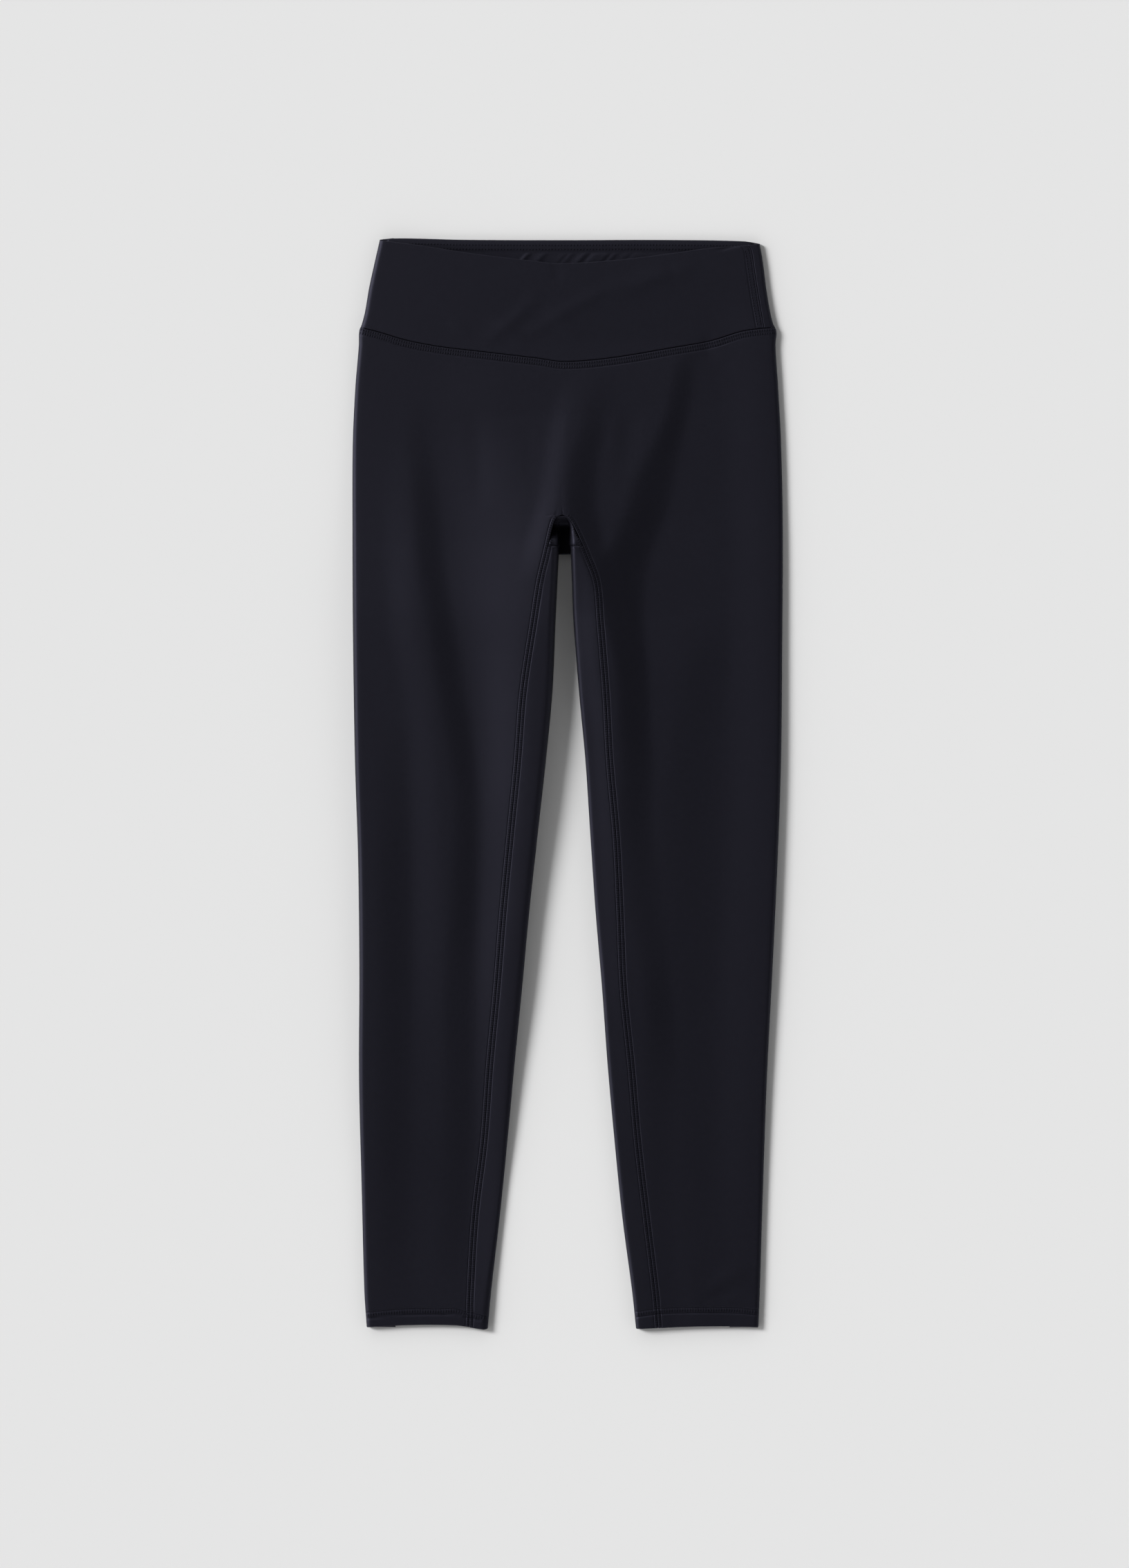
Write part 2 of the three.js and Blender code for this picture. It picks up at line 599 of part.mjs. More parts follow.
/** Rise of the small gathers at a point of the facing. */
function gatherRise(x, y) {
  const along = (x - GATHERS.from) / (GATHERS.to - GATHERS.from);
  if (along <= 0 || along >= 1) return 0;
  const fade = ease((y - GATHERS.foot) / (GATHERS.head - GATHERS.foot));
  return GATHERS.rise * fade * Math.sin(Math.PI * GATHERS.count * along) ** 2;
}

/** The inner layer of the back yoke, with the soft roll of its elastic edge and its gathers. */
function makeFacing() {
  const { bed, drop, inset, sideSteps, depths } = FACING;
  const rowAt = (depth) => {
    const from = outer("left", BACK_EDGE[0].y - depth) + inset;
    const to = outer("right", BACK_EDGE[0].y - depth) - inset;
    const gathered = spread(GATHERS.from, GATHERS.to, GATHERS.count * GATHERS.stepsEach);
    const across = chain(
      spread(from, GATHERS.from, sideSteps),
      gathered,
      spread(GATHERS.to, to, sideSteps),
    );
    const edge = ELASTIC_EDGE.rise * Math.sin(Math.PI * clamp01(depth / ELASTIC_EDGE.depth));
    return across.map((x) => {
      const y = read(BACK_EDGE, "x", "y", x) - drop - depth;
      const gathers = depth > ELASTIC_EDGE.depth ? gatherRise(x, y) : 0;
      return { x, y, z: bed + edge + gathers, wall: KNIT };
    });
  };
  return cloth("waistband_back_facing", BLACK_FACING, [depths.map(rowAt)]);
}

const group = new THREE.Group();
group.add(makeFront(), makeBack("left"), makeBack("right"), makeGusset());
group.add(makeYokeFront(), makeYokeBack(), makeFacing());
export default group;
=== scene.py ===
"""High-waisted black knit leggings, laid flat and photographed from straight above.

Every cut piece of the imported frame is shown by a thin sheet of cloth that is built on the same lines:
a flat underside, rounded folds at the sides and an upper side with long soft folds. The sewing lies on
it as threads. Sizes in the tables are millimetres in the row frame, with X to the right as seen from
above, Y towards the waist and Z up; meshes are made in metres.
"""

import logging
import math
from dataclasses import dataclass
from enum import Enum
from typing import Callable, ClassVar, NamedTuple, Sequence

import bmesh
import bpy
import numpy as np
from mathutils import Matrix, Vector


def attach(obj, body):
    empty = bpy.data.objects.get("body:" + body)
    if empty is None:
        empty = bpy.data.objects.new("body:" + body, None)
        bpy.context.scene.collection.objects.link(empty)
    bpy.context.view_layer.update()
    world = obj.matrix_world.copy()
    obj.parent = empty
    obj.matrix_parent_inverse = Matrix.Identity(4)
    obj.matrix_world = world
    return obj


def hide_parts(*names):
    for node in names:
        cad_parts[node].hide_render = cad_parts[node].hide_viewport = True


LOG = logging.getLogger("leggings")
MM = 0.001
Array = np.ndarray


class Side(Enum):
    """A side of the garment as seen from above, with the way that X runs towards it."""

    LEFT = -1
    RIGHT = 1

    @property
    def toward(self) -> int:
        """-1 for the left side and 1 for the right one."""
        return self.value

    @property
    def word(self) -> str:
        """The side's name, as table columns and pieces have it."""
        return self.name.lower()


class OuterRow(NamedTuple):
    """Outer folds of the whole garment at one height."""

    y: float
    left: float
    right: float


class LegRow(NamedTuple):
    """Inseams and inner folds of the two legs at one height."""

    y: float
    left_seam: float
    left_fold: float
    right_fold: float
    right_seam: float


class Spot(NamedTuple):
    """A point of a line that is drawn on the garment."""

    x: float
    y: float


class HeightRow(NamedTuple):
    """Height of the cloth beside the outer folds, and how far the inner folds stand off the surface."""

    y: float
    left: float
    right: float
    left_lift: float
    right_lift: float


class BandRow(NamedTuple):
    """One place on a long soft slope: its middle, how much the cloth rises across it and its width."""

    y: float
    x: float
    rise: float
    width: float


# Heights along the garment that more than one piece uses, and the two centre lines
ARCH_TOP = 233.2
GUSSET_HEAD = 231.8
GUSSET_FOOT = 206.0
CROTCH_FOLD = 199.0
BACK_SEAM = 396.3
YOKE_SEAM_LOW = 366.0
CENTRE_BACK = -2.55
CENTRE_FRONT = -4.6

# Cloth, gaps, and the folded edges with their steps
CLOTH = 0.65
SEAM_GAP = 0.06
WALL = 1.0
YOKE_WALL = 1.6
LAYER_GAP = 0.3
HEM_DEPTH = 13.5
EDGE_RADIUS = 0.68
FACING_RADIUS = 0.45
EDGE_STEPS = 5
FACING_STEPS = 4

# Folds
SIDE_WRAP = 25.0
YOKE_WRAP = 12.0
OUTER_SHOULDER = 4.0
INNER_SHOULDERS = {Side.LEFT: 6.0, Side.RIGHT: 3.5}
UNDER_ROLL = 2.4
ROLL_MIDDLE = 0.46
LIFT_REACH = 44.0
FOLD_STEPS = 7
FOLD_NEAR = 20.0

# The gusset: its floor's height and where that starts to rise to the arch, how far in its flanks turn
# down, and the share of their height that they lose on the way up to the arch
CROTCH_LAYERS = 2.6
GUSSET_RISE = 224.0
FLANK_SHOULDERS = {Side.LEFT: 8.0, Side.RIGHT: 3.5}
FLANK_SINKS = {Side.LEFT: 0.85, Side.RIGHT: 0.3}
SINK_START = 210.0
SINK_LENGTH = 10.0

# Rough places of the folds and of the yoke's side seam, good enough to find a row's height there
NEAR_OUTER_FOLD = 180.0
NEAR_INNER_FOLD = 60.0
NEAR_YOKE_SIDE = 162.0

OUTER_EDGES = (
    OuterRow(473, -162.8, 165.8),
    OuterRow(453, -167.4, 169.3),
    OuterRow(430, -172.4, 172.2),
    OuterRow(410, -175.8, 175.6),
    OuterRow(399, -178.6, 178.3),
    OuterRow(393, -180.8, 181.0),
    OuterRow(380, -181.2, 180.2),
    OuterRow(344, -184.2, 182.5),
    OuterRow(296, -186.4, 185.0),
    OuterRow(224, -186.7, 186.5),
    OuterRow(128, -186.2, 186.1),
    OuterRow(20, -184.5, 185.0),
    OuterRow(-64, -181.8, 182.1),
    OuterRow(-160, -180.7, 177.6),
    OuterRow(-256, -181.0, 172.7),
    OuterRow(-352, -178.7, 169.3),
    OuterRow(-440, -176.4, 166.6),
    OuterRow(-473, -174.2, 165.3),
)
LEG_LINES = (
    LegRow(233.2, -4.6, -4.6, -4.6, -4.6),
    LegRow(231.4, -8.6, -7.0, -3.0, -1.0),
    LegRow(227, -11.6, -7.4, 0.5, 2.9),
    LegRow(219, -14.0, -7.6, 2.2, 7.4),
    LegRow(206, -17.0, -7.7, 2.6, 13.3),
    LegRow(199, -18.6, -7.8, 2.7, 16.2),
    LegRow(175, -24.2, -8.9, 3.6, 25.0),
    LegRow(143, -29.2, -10.4, 4.8, 27.9),
    LegRow(80, -38.7, -13.2, 9.7, 32.9),
    LegRow(20, -43.5, -18.9, 15.3, 36.2),
    LegRow(-45, -49.9, -26.1, 19.6, 41.9),
    LegRow(-111, -56.2, -33.3, 24.1, 45.2),
    LegRow(-177, -61.5, -39.5, 29.7, 48.1),
    LegRow(-243, -67.7, -46.1, 34.5, 54.7),
    LegRow(-308, -72.6, -52.1, 40.4, 60.3),
    LegRow(-374, -80.5, -58.8, 47.1, 67.9),
    LegRow(-440, -84.5, -66.4, 55.8, 75.8),
    LegRow(-473, -85.5, -69.4, 59.3, 78.6),
)
YOKE_SEAM = (
    Spot(-181, 396.3),
    Spot(-162.6, 391.6),
    Spot(-139.3, 384.7),
    Spot(-110, 379.2),
    Spot(-73.9, 374.9),
    Spot(-24.9, 369.1),
    Spot(-3, 366.3),
    Spot(36.7, 369.4),
    Spot(90, 378.2),
    Spot(125.1, 384.7),
    Spot(152.3, 392.9),
    Spot(181, 396.3),
)
FRONT_EDGE = (
    Spot(-164, 470.9),
    Spot(-127.6, 466.3),
    Spot(-82.8, 459.4),
    Spot(-33.4, 453.4),
    Spot(-7.2, 450.8),
    Spot(42.4, 453.9),
    Spot(88.4, 459.4),
    Spot(119.4, 463.9),
    Spot(156, 466.8),
    Spot(167, 468.0),
)
BACK_EDGE = (
    Spot(-164, 471.6),
    Spot(-148, 473.0),
    Spot(-88, 471.7),
    Spot(0, 471.4),
    Spot(77, 471.6),
    Spot(152, 470.5),
    Spot(167, 468.2),
)
YOKE_SIDE = (
    Spot(155.2, 468),
    Spot(159.0, 463.6),
    Spot(161.7, 447.8),
    Spot(166.1, 419.4),
    Spot(170.2, 396),
)
LEFT_HEM = (
    Spot(-175, -470.5),
    Spot(-145, -468.7),
    Spot(-97, -468.8),
    Spot(-73, -472.4),
    Spot(-69, -471.8),
)
RIGHT_HEM = (
    Spot(59, -471.8),
    Spot(71, -471.4),
    Spot(107, -469.9),
    Spot(143, -469.7),
    Spot(165.5, -470.6),
)
HEIGHTS = (
    HeightRow(473, 5.4, 4.2, 0, 0),
    HeightRow(396, 5.8, 4.6, 0, 0),
    HeightRow(330, 5.8, 4.6, 0, 0),
    HeightRow(284, 6.5, 4.7, 0, 0),
    HeightRow(240, 7.9, 4.8, 0, 0),
    HeightRow(212, 9.1, 5.1, 0.2, 0.1),
    HeightRow(188, 10.4, 5.3, 0.8, 0.4),
    HeightRow(150, 11.9, 5.5, 2.0, 1.0),
    HeightRow(110, 11.8, 5.7, 3.0, 1.6),
    HeightRow(50, 11.3, 6.0, 5.0, 2.2),
    HeightRow(20, 11.2, 6.2, 5.6, 2.4),
    HeightRow(-60, 10.8, 6.4, 6.2, 2.4),
    HeightRow(-160, 10.2, 6.4, 5.0, 1.6),
    HeightRow(-240, 8.6, 5.8, 3.0, 0.6),
    HeightRow(-300, 7.2, 5.2, 1.6, 0),
    HeightRow(-350, 5.7, 4.8, 0.6, 0),
    HeightRow(-430, 5.2, 4.7, 0, 0),
    HeightRow(-473, 5.1, 4.7, 0, 0),
)

# The long soft slopes, from the left outer fold to the right one, each from the waist down
LEFT_RIM_FALL = (
    BandRow(60, -152, 0, 36),
    BandRow(-10, -151, -0.9, 36),
    BandRow(-100, -150, -1.9, 38),
    BandRow(-240, -150, -1.7, 38),
    BandRow(-380, -150, -1.3, 40),
    BandRow(-440, -150, -0.6, 40),
    BandRow(-474, -150, -0.3, 40),
)
LEFT_OUTER_RISE = (
    BandRow(300, -150, 0, 30),
    BandRow(212, -147, 1.0, 32),
    BandRow(140, -143, 1.6, 34),
    BandRow(80, -132, 1.4, 34),
    BandRow(0, -125, 1.5, 34),
    BandRow(-130, -121, 1.2, 34),
    BandRow(-260, -120, 0.4, 34),
    BandRow(-330, -120, 0, 34),
)
LEFT_THIGH_FALL = (
    BandRow(330, -133, 0, 26),
    BandRow(284, -127, -0.9, 27),
    BandRow(236, -122, -1.9, 28),
    BandRow(188, -118, -2.3, 28),
    BandRow(140, -110, -2.3, 28),
    BandRow(80, -101, -2.3, 28),
    BandRow(20, -91, -2.1, 28),
    BandRow(-20, -87, -1.7, 29),
    BandRow(-100, -89, -2.1, 30),
    BandRow(-190, -93, -1.4, 34),
    BandRow(-300, -93, -1.3, 36),
    BandRow(-390, -97, -0.9, 36),
    BandRow(-450, -100, 0, 36),
)
LEFT_HIP_RISE = (
    BandRow(400, -86, 0, 60),
    BandRow(340, -86, 0.9, 76),
    BandRow(272, -86, 1.0, 76),
    BandRow(212, -86, 0, 60),
)
LEFT_THIGH_RISE = (
    BandRow(320, -72, 0, 70),
    BandRow(284, -68, 2.0, 84),
    BandRow(236, -62, 4.8, 94),
    BandRow(188, -60, 6.4, 98),
    BandRow(140, -60, 6.6, 84),
    BandRow(110, -59, 6.4, 70),
    BandRow(50, -57, 5.8, 58),
    BandRow(-10, -58, 5.0, 52),
    BandRow(-100, -62, 3.8, 46),
    BandRow(-160, -67, 3.0, 38),
    BandRow(-260, -69, 1.9, 34),
    BandRow(-400, -73, 1.1, 32),
    BandRow(-474, -76, 0.7, 30),
)
CENTRE_RISE = (
    BandRow(356, 2, 0, 22),
    BandRow(308, -9, 1.2, 24),
    BandRow(260, -16, 1.6, 24),
    BandRow(236, -20, 1.8, 24),
    BandRow(212, -27, 1.5, 24),
    BandRow(188, -32, 0.7, 22),
    BandRow(172, -34, 0, 22),
)
CENTRE_FALL = (
    BandRow(360, 32, 0, 30),
    BandRow(308, 22, -1.9, 30),
    BandRow(284, 15, -2.7, 30),
    BandRow(260, 12, -3.5, 30),
    BandRow(236, 12, -4.6, 30),
    BandRow(212, 18, -4.8, 30),
    BandRow(188, 25, -2.6, 26),
    BandRow(170, 30, -1.0, 24),
    BandRow(150, 34, 0, 24),
)
RIGHT_INNER_RISE = (
    BandRow(206, 8, 0, 14),
    BandRow(190, 11, 1.0, 18),
    BandRow(164, 14, 2.0, 24),
    BandRow(110, 17, 2.4, 26),
    BandRow(50, 26, 2.2, 26),
    BandRow(-40, 32, 1.8, 26),
    BandRow(-120, 36, 1.0, 24),
    BandRow(-200, 42, 0.6, 22),
    BandRow(-320, 52, 0, 22),
)
RIGHT_THIGH_FALL = (
    BandRow(384, 108, 0, 30),
    BandRow(356, 101, -1.4, 24),
    BandRow(332, 97, -2.0, 24),
    BandRow(308, 91, -2.7, 26),
    BandRow(284, 82, -3.6, 33),
    BandRow(260, 74, -4.6, 41),
    BandRow(236, 68, -5.6, 42),
    BandRow(212, 58, -5.8, 44),
    BandRow(188, 47, -7.4, 50),
    BandRow(164, 46, -7.8, 46),
    BandRow(140, 49, -7.4, 38),
    BandRow(110, 54, -6.4, 32),
    BandRow(80, 57, -5.4, 32),
    BandRow(50, 58, -4.5, 32),
    BandRow(20, 60, -3.4, 32),
    BandRow(-40, 60, -2.2, 34),
    BandRow(-100, 68, -1.4, 36),
    BandRow(-190, 79, -2.0, 30),
    BandRow(-260, 80, -1.0, 32),
    BandRow(-330, 78, -0.6, 32),
    BandRow(-474, 82, -0.6, 32),
)
RIGHT_KNEE_FALL = (
    BandRow(150, 124, 0, 50),
    BandRow(100, 118, -1.3, 50),
    BandRow(0, 108, -1.6, 56),
    BandRow(-120, 108, -1.4, 60),
    BandRow(-240, 112, -0.9, 56),
    BandRow(-340, 118, -0.8, 50),
    BandRow(-474, 126, -0.6, 40),
)
RIGHT_OUTER_RISE = (
    BandRow(440, 150, 0, 40),
    BandRow(380, 150, 0.8, 44),
    BandRow(200, 156, 1.2, 44),
    BandRow(0, 156, 1.2, 44),
    BandRow(-200, 146, 0.9, 44),
    BandRow(-340, 140, 0.6, 40),
    BandRow(-430, 136, 0, 36),
)
BANDS = (
    LEFT_RIM_FALL,
    LEFT_OUTER_RISE,
    LEFT_THIGH_FALL,
    LEFT_HIP_RISE,
    LEFT_THIGH_RISE,
    CENTRE_RISE,
    CENTRE_FALL,
    RIGHT_INNER_RISE,
    RIGHT_THIGH_FALL,
    RIGHT_KNEE_FALL,
    RIGHT_OUTER_RISE,
)
# Half the width of the ramp that evens out what the slopes leave between the heights of the two sides
EVENING = (Spot(150, 340), Spot(70, 270), Spot(26, 236), Spot(8, 212), Spot(4, 199))


class Crease(NamedTuple):
    """A small soft crease: a line with a bow, raised by its rise, or sunk where that is negative."""

    start: Spot
    end: Spot
    bow: float
    width: float
    rise: float


CREASES = (
    Crease(Spot(-48, 380), Spot(58, 440), 3.0, 6.0, 0.32),
    Crease(Spot(30, 420), Spot(118, 451), 3.0, 8.0, 0.42),
    Crease(Spot(-80, 378), Spot(-22, 428), -3.0, 6.0, 0.34),
    Crease(Spot(-72, 403), Spot(-34, 382), 2.0, 4.5, 0.26),
    Crease(Spot(-104, 402), Spot(-84, 386), 1.5, 4.0, 0.20),
    Crease(Spot(-18, 414), Spot(14, 386), -2.0, 5.0, 0.18),
    Crease(Spot(-12, 452), Spot(-9, 434), 1.5, 4.0, -0.24),
    Crease(Spot(82, 452), Spot(96, 438), 1.0, 5.0, -0.20),
    Crease(Spot(118, 374), Spot(126, 392), 1.0, 6.0, -0.22),
    Crease(Spot(116, 386), Spot(127, 366), 1.0, 5.5, -0.30),
    Crease(Spot(127, 462.6), Spot(151, 467.2), 0.0, 1.3, -0.55),
    Crease(Spot(118, -445), Spot(158, -420), 3.0, 7.0, 0.40),
    Crease(Spot(112, -452), Spot(150, -436), 2.0, 5.0, -0.30),
    Crease(Spot(-82, 330), Spot(-76, 236), 2.0, 9.0, -0.30),
    Crease(Spot(-36, 316), Spot(-33, 250), 1.0, 6.0, -0.16),
    Crease(Spot(34, 344), Spot(40, 276), 2.0, 8.0, 0.24),
    Crease(Spot(60, 330), Spot(48, 262), -2.0, 9.0, -0.24),
)


class Curve:
    """A smooth curve through the rows of a table, level beyond its ends."""

    def __init__(self, places: Sequence[float], values: Sequence[float]) -> None:
        """Sorts the rows and finds the slope at each from its neighbours.

        Args:
            places: Where the values are given.
            values: The values there.
        """
        order = np.argsort(places)
        self.places = np.asarray(places, float)[order]
        self.values = np.asarray(values, float)[order]
        before = np.maximum(np.arange(len(order)) - 1, 0)
        after = np.minimum(np.arange(len(order)) + 1, len(order) - 1)
        rises = self.values[after] - self.values[before]
        self.slopes = rises / (self.places[after] - self.places[before])

    def __call__(self, at: Array | float) -> Array:
        """Reads the curve.

        Args:
            at: Places to read it at.

        Returns:
            Its value at each of them.
        """
        at = np.clip(np.asarray(at, float), self.places[0], self.places[-1])
        i = np.clip(np.searchsorted(self.places, at, side="right") - 1, 0, len(self.places) - 2)
        span = self.places[i + 1] - self.places[i]
        t = (at - self.places[i]) / span
        start = self.values[i] * (2 * t**3 - 3 * t**2 + 1)
        start_slope = self.slopes[i] * span * (t**3 - 2 * t**2 + t)
        end = self.values[i + 1] * (3 * t**2 - 2 * t**3)
        end_slope = self.slopes[i + 1] * span * (t**3 - t**2)
        return start + start_slope + end + end_slope


def curve(table: Sequence[NamedTuple], across: str, value: str) -> Curve:
    """A curve through one named column of a table, read across another."""
    return Curve([getattr(row, across) for row in table], [getattr(row, value) for row in table])


def mix(a: Array | float, b: Array | float, t: Array | float) -> Array | float:
    """The point at a share t of the way from a to b."""
    return a + (b - a) * t


def ease(t: Array | float) -> Array:
    """A smooth step from 0 to 1."""
    t = np.clip(t, 0.0, 1.0)
    return t * t * (3 - 2 * t)


def bell(distance: Array, width: float) -> Array:
    """A bell of height 1 whose sides fall away over about one width."""
    return np.exp(-((distance / width) ** 2))


class Band:
    """A long soft slope of the upper side."""

    def __init__(self, rows: Sequence[BandRow]) -> None:
        """Makes its curves.

        Args:
            rows: Places on the slope, from the waist down.
        """
        self.x, self.rise, self.width = (curve(rows, "y", column) for column in ("x", "rise", "width"))

    def __call__(self, x: Array, y: Array) -> Array:
        """How far the cloth has risen at some points, on the way from left to right."""
        share = np.clip((x - self.x(y)) / self.width(y) + 0.5, 0.0, 1.0)
        return self.rise(y) * 0.5 * (1 - np.cos(np.pi * share))


def crease_rise(crease: Crease, x: Array, y: Array) -> Array:
    """Rise of one small crease at some points.

    Args:
        crease: The crease.
        x: X of each point.
        y: Height along the garment of each point.

    Returns:
        How far the cloth rises at each point.
    """
    dx, dy = crease.end.x - crease.start.x, crease.end.y - crease.start.y
    length = math.hypot(dx, dy)
    along = ((x - crease.start.x) * dx + (y - crease.start.y) * dy) / length**2
    across = ((y - crease.start.y) * dx - (x - crease.start.x) * dy) / length
    inside = np.clip(along, 0.0, 1.0)
    bow = crease.bow * 4 * inside * (1 - inside)
    return crease.rise * np.sin(np.pi * inside) * bell(across - bow, crease.width)


# Width over which a seam's channel sets in, and over which the side seam does above the yoke seam; and
# what the squared slope of an inseam gets, so that distances from it come out a twentieth of a percent less
CHANNEL_EDGE = 0.9
SIDE_SEAM_FADE = 3.0
SLOPE_TRIM = 1e-3


@dataclass(frozen=True)
class SeamForm:
    """How cloth lies beside a seam: a channel under the threads and a groove at the seam itself."""

    channel: float
    start: float
    end: float
    groove: float
    groove_width: float
    needle: float
    needle_width: float = 0.22

    def relief(self, distance: Array) -> Array:
        """How far the surface rises beside the seam, at signed distances from it.

        Args:
            distance: Distances from the seam, negative on the one side.

        Returns:
            The rise at each of them, negative where the surface sinks.
        """
        past_start = ease((distance - self.start) / CHANNEL_EDGE + 0.5)
        inside = past_start * ease((self.end - distance) / CHANNEL_EDGE + 0.5)
        lines = bell(distance - self.start, self.needle_width) + bell(distance - self.end, self.needle_width)
        middle = bell(distance, self.groove_width)
        return -self.channel * inside - self.groove * middle - self.needle * lines


INSEAM_FORM = SeamForm(channel=0.04, start=-3.1, end=3.1, groove=0.60, groove_width=0.24, needle=0.36)
YOKE_SEAM_FORM = SeamForm(channel=0.12, start=-6.7, end=-0.4, groove=0.95, groove_width=0.32, needle=0.42)
SIDE_SEAM_FORM = SeamForm(channel=0.05, start=-6.8, end=-1.2, groove=0.60, groove_width=0.28, needle=0.25)
HEM_FORM = SeamForm(0.10, start=-2.4, end=2.4, groove=0.0, groove_width=1.0, needle=0.70, needle_width=0.50)
LEFT_HEM_ROWS = (
    Spot(-176, -460.9),
    Spot(-157.9, -458.8),
    Spot(-135, -457.3),
    Spot(-112, -457.4),
    Spot(-96.7, -457.2),
    Spot(-89.1, -459.6),
    Spot(-77.6, -462.0),
    Spot(-68, -464.0),
)
RIGHT_HEM_ROWS = (
    Spot(59, -459.8),
    Spot(76.9, -457.4),
    Spot(93.4, -456.4),
    Spot(121, -456.2),
    Spot(148.5, -456.6),
    Spot(167, -458.6),
)


class Lay:
    """How the garment lies: its outlines, its seams and the height of its upper side."""

    def __init__(self) -> None:
        """Makes the curves of every line."""
        self.edge = {side: curve(OUTER_EDGES, "y", side.word) for side in Side}
        self.seam = {side: curve(LEG_LINES, "y", f"{side.word}_seam") for side in Side}
        self.fold = {side: curve(LEG_LINES, "y", f"{side.word}_fold") for side in Side}
        self.lifts = {side: curve(HEIGHTS, "y", f"{side.word}_lift") for side in Side}
        self.bases = {side: curve(HEIGHTS, "y", side.word) for side in Side}
        self.evening = curve(EVENING, "y", "x")
        self.yoke_seam = curve(YOKE_SEAM, "x", "y")
        self.front_edge = curve(FRONT_EDGE, "x", "y")
        self.back_edge = curve(BACK_EDGE, "x", "y")
        self.yoke_side = curve(YOKE_SIDE, "y", "x")
        self.hem_edges = {Side.LEFT: curve(LEFT_HEM, "x", "y"), Side.RIGHT: curve(RIGHT_HEM, "x", "y")}
        self.hem_rows = {
            Side.LEFT: curve(LEFT_HEM_ROWS, "x", "y"),
            Side.RIGHT: curve(RIGHT_HEM_ROWS, "x", "y"),
        }
        self.bands = tuple(Band(rows) for rows in BANDS)

    def hem(self, x: Array | float) -> Array:
        """Height along the garment of the hem's edge."""
        return np.where(np.asarray(x) < 0, self.hem_edges[Side.LEFT](x), self.hem_edges[Side.RIGHT](x))

    def hem_row(self, x: Array | float) -> Array:
        """Height along the garment of the middle of the hem's stitching."""
        return np.where(np.asarray(x) < 0, self.hem_rows[Side.LEFT](x), self.hem_rows[Side.RIGHT](x))

    def lift(self, x: Array | float, y: Array | float) -> Array:
        """How far the underside stands off the surface beside an inner fold.

        Args:
            x: X of each point.
            y: Height along the garment of each point.

        Returns:
            The underside's height at each point.
        """
        x, y = np.broadcast_arrays(np.asarray(x, float), np.asarray(y, float))
        total = np.zeros(x.shape)
        for side in Side:
            near = 1 - np.abs(x - self.fold[side](y)) / LIFT_REACH
            here = (x < CENTRE_FRONT) == (side is Side.LEFT)
            total += np.where(here, np.maximum(0.0, self.lifts[side](y)) * ease(near), 0.0)
        return total

    def seam_relief(self, x: Array, y: Array) -> Array:
        """How the upper side rises and sinks beside its seams.

        Args:
            x: X of each point.
            y: Height along the garment of each point.

        Returns:
            The rise at each point.
        """
        total = np.zeros(np.broadcast(x, y).shape)
        for side in Side:
            seam = self.seam[side]
            slope = seam(y + 0.5) - seam(y - 0.5)
            distance = (x - seam(y)) / np.sqrt(1 + slope**2 + SLOPE_TRIM)
            here = ((x < CENTRE_FRONT) == (side is Side.LEFT)) & (y <= ARCH_TOP)
            total += np.where(here, INSEAM_FORM.relief(distance), 0.0)
        above = np.hypot(x - CENTRE_FRONT, y - ARCH_TOP)
        total += np.where(y > ARCH_TOP, INSEAM_FORM.relief(above), 0.0)
        total += YOKE_SEAM_FORM.relief(y - self.yoke_seam(x))
        above_seam = ease((y - self.yoke_seam(x)) / SIDE_SEAM_FADE)
        total += SIDE_SEAM_FORM.relief(x - self.yoke_side(y)) * above_seam
        total += HEM_FORM.relief(y - self.hem_row(x))
        return total

    def right_share(self, x: Array, y: Array) -> Array:
        """0 on the left leg and 1 on the right one, with a ramp between them above the crotch."""
        ramp = ease((x - CENTRE_FRONT) / self.evening(y) / 2 + 0.5)
        return np.where(y > CROTCH_FOLD, ramp, np.where(x > CENTRE_FRONT, 1.0, 0.0))

    def swell(self, x: Array, y: Array) -> Array:
        """Height of the upper side before its seams and small creases.

        Args:
            x: X of each point.
            y: Height along the garment of each point.

        Returns:
            The height at each point.
        """
        total = self.bases[Side.LEFT](y) + np.zeros(x.shape)
        left_over = self.bases[Side.LEFT](y) - self.bases[Side.RIGHT](y)
        for band in self.bands:
            total = total + band(x, y)
            left_over = left_over + band.rise(y)
        return total - left_over * self.right_share(x, y)

    def top(self, x: Array | float, y: Array | float) -> Array:
        """Height of the upper side.

        Args:
            x: X of each point.
            y: Height along the garment of each point.

        Returns:
            The height at each point.
        """
        x, y = np.broadcast_arrays(np.asarray(x, float), np.asarray(y, float))
        total = self.swell(x, y) + self.seam_relief(x, y)
        for crease in CREASES:
            total = total + crease_rise(crease, x, y)
        return total

    def gusset(self, x: Array, y: Array) -> Array:
        """Height of the gusset: a flank at each seam and the low floor between them.

        Args:
            x: X of each point.
            y: Height along the garment of each point.

        Returns:
            The height at each point.
        """
        rim = self.top(CENTRE_FRONT, y)
        floor = mix(CROTCH_LAYERS, rim, ease((y - GUSSET_RISE) / (ARCH_TOP - GUSSET_RISE)))
        height = np.array(np.broadcast_to(floor, np.broadcast(x, y).shape), float)
        for side in Side:
            inward = side.toward * (x - self.fold[side](y))
            flank = self.shoulder(self.top(x, y), inward, FLANK_SHOULDERS[side], self.lift(x, y))
            flank = mix(flank, floor, FLANK_SINKS[side] * ease((y - SINK_START) / SINK_LENGTH))
            height = np.where(inward > 0, np.maximum(floor, flank), height)
        return height

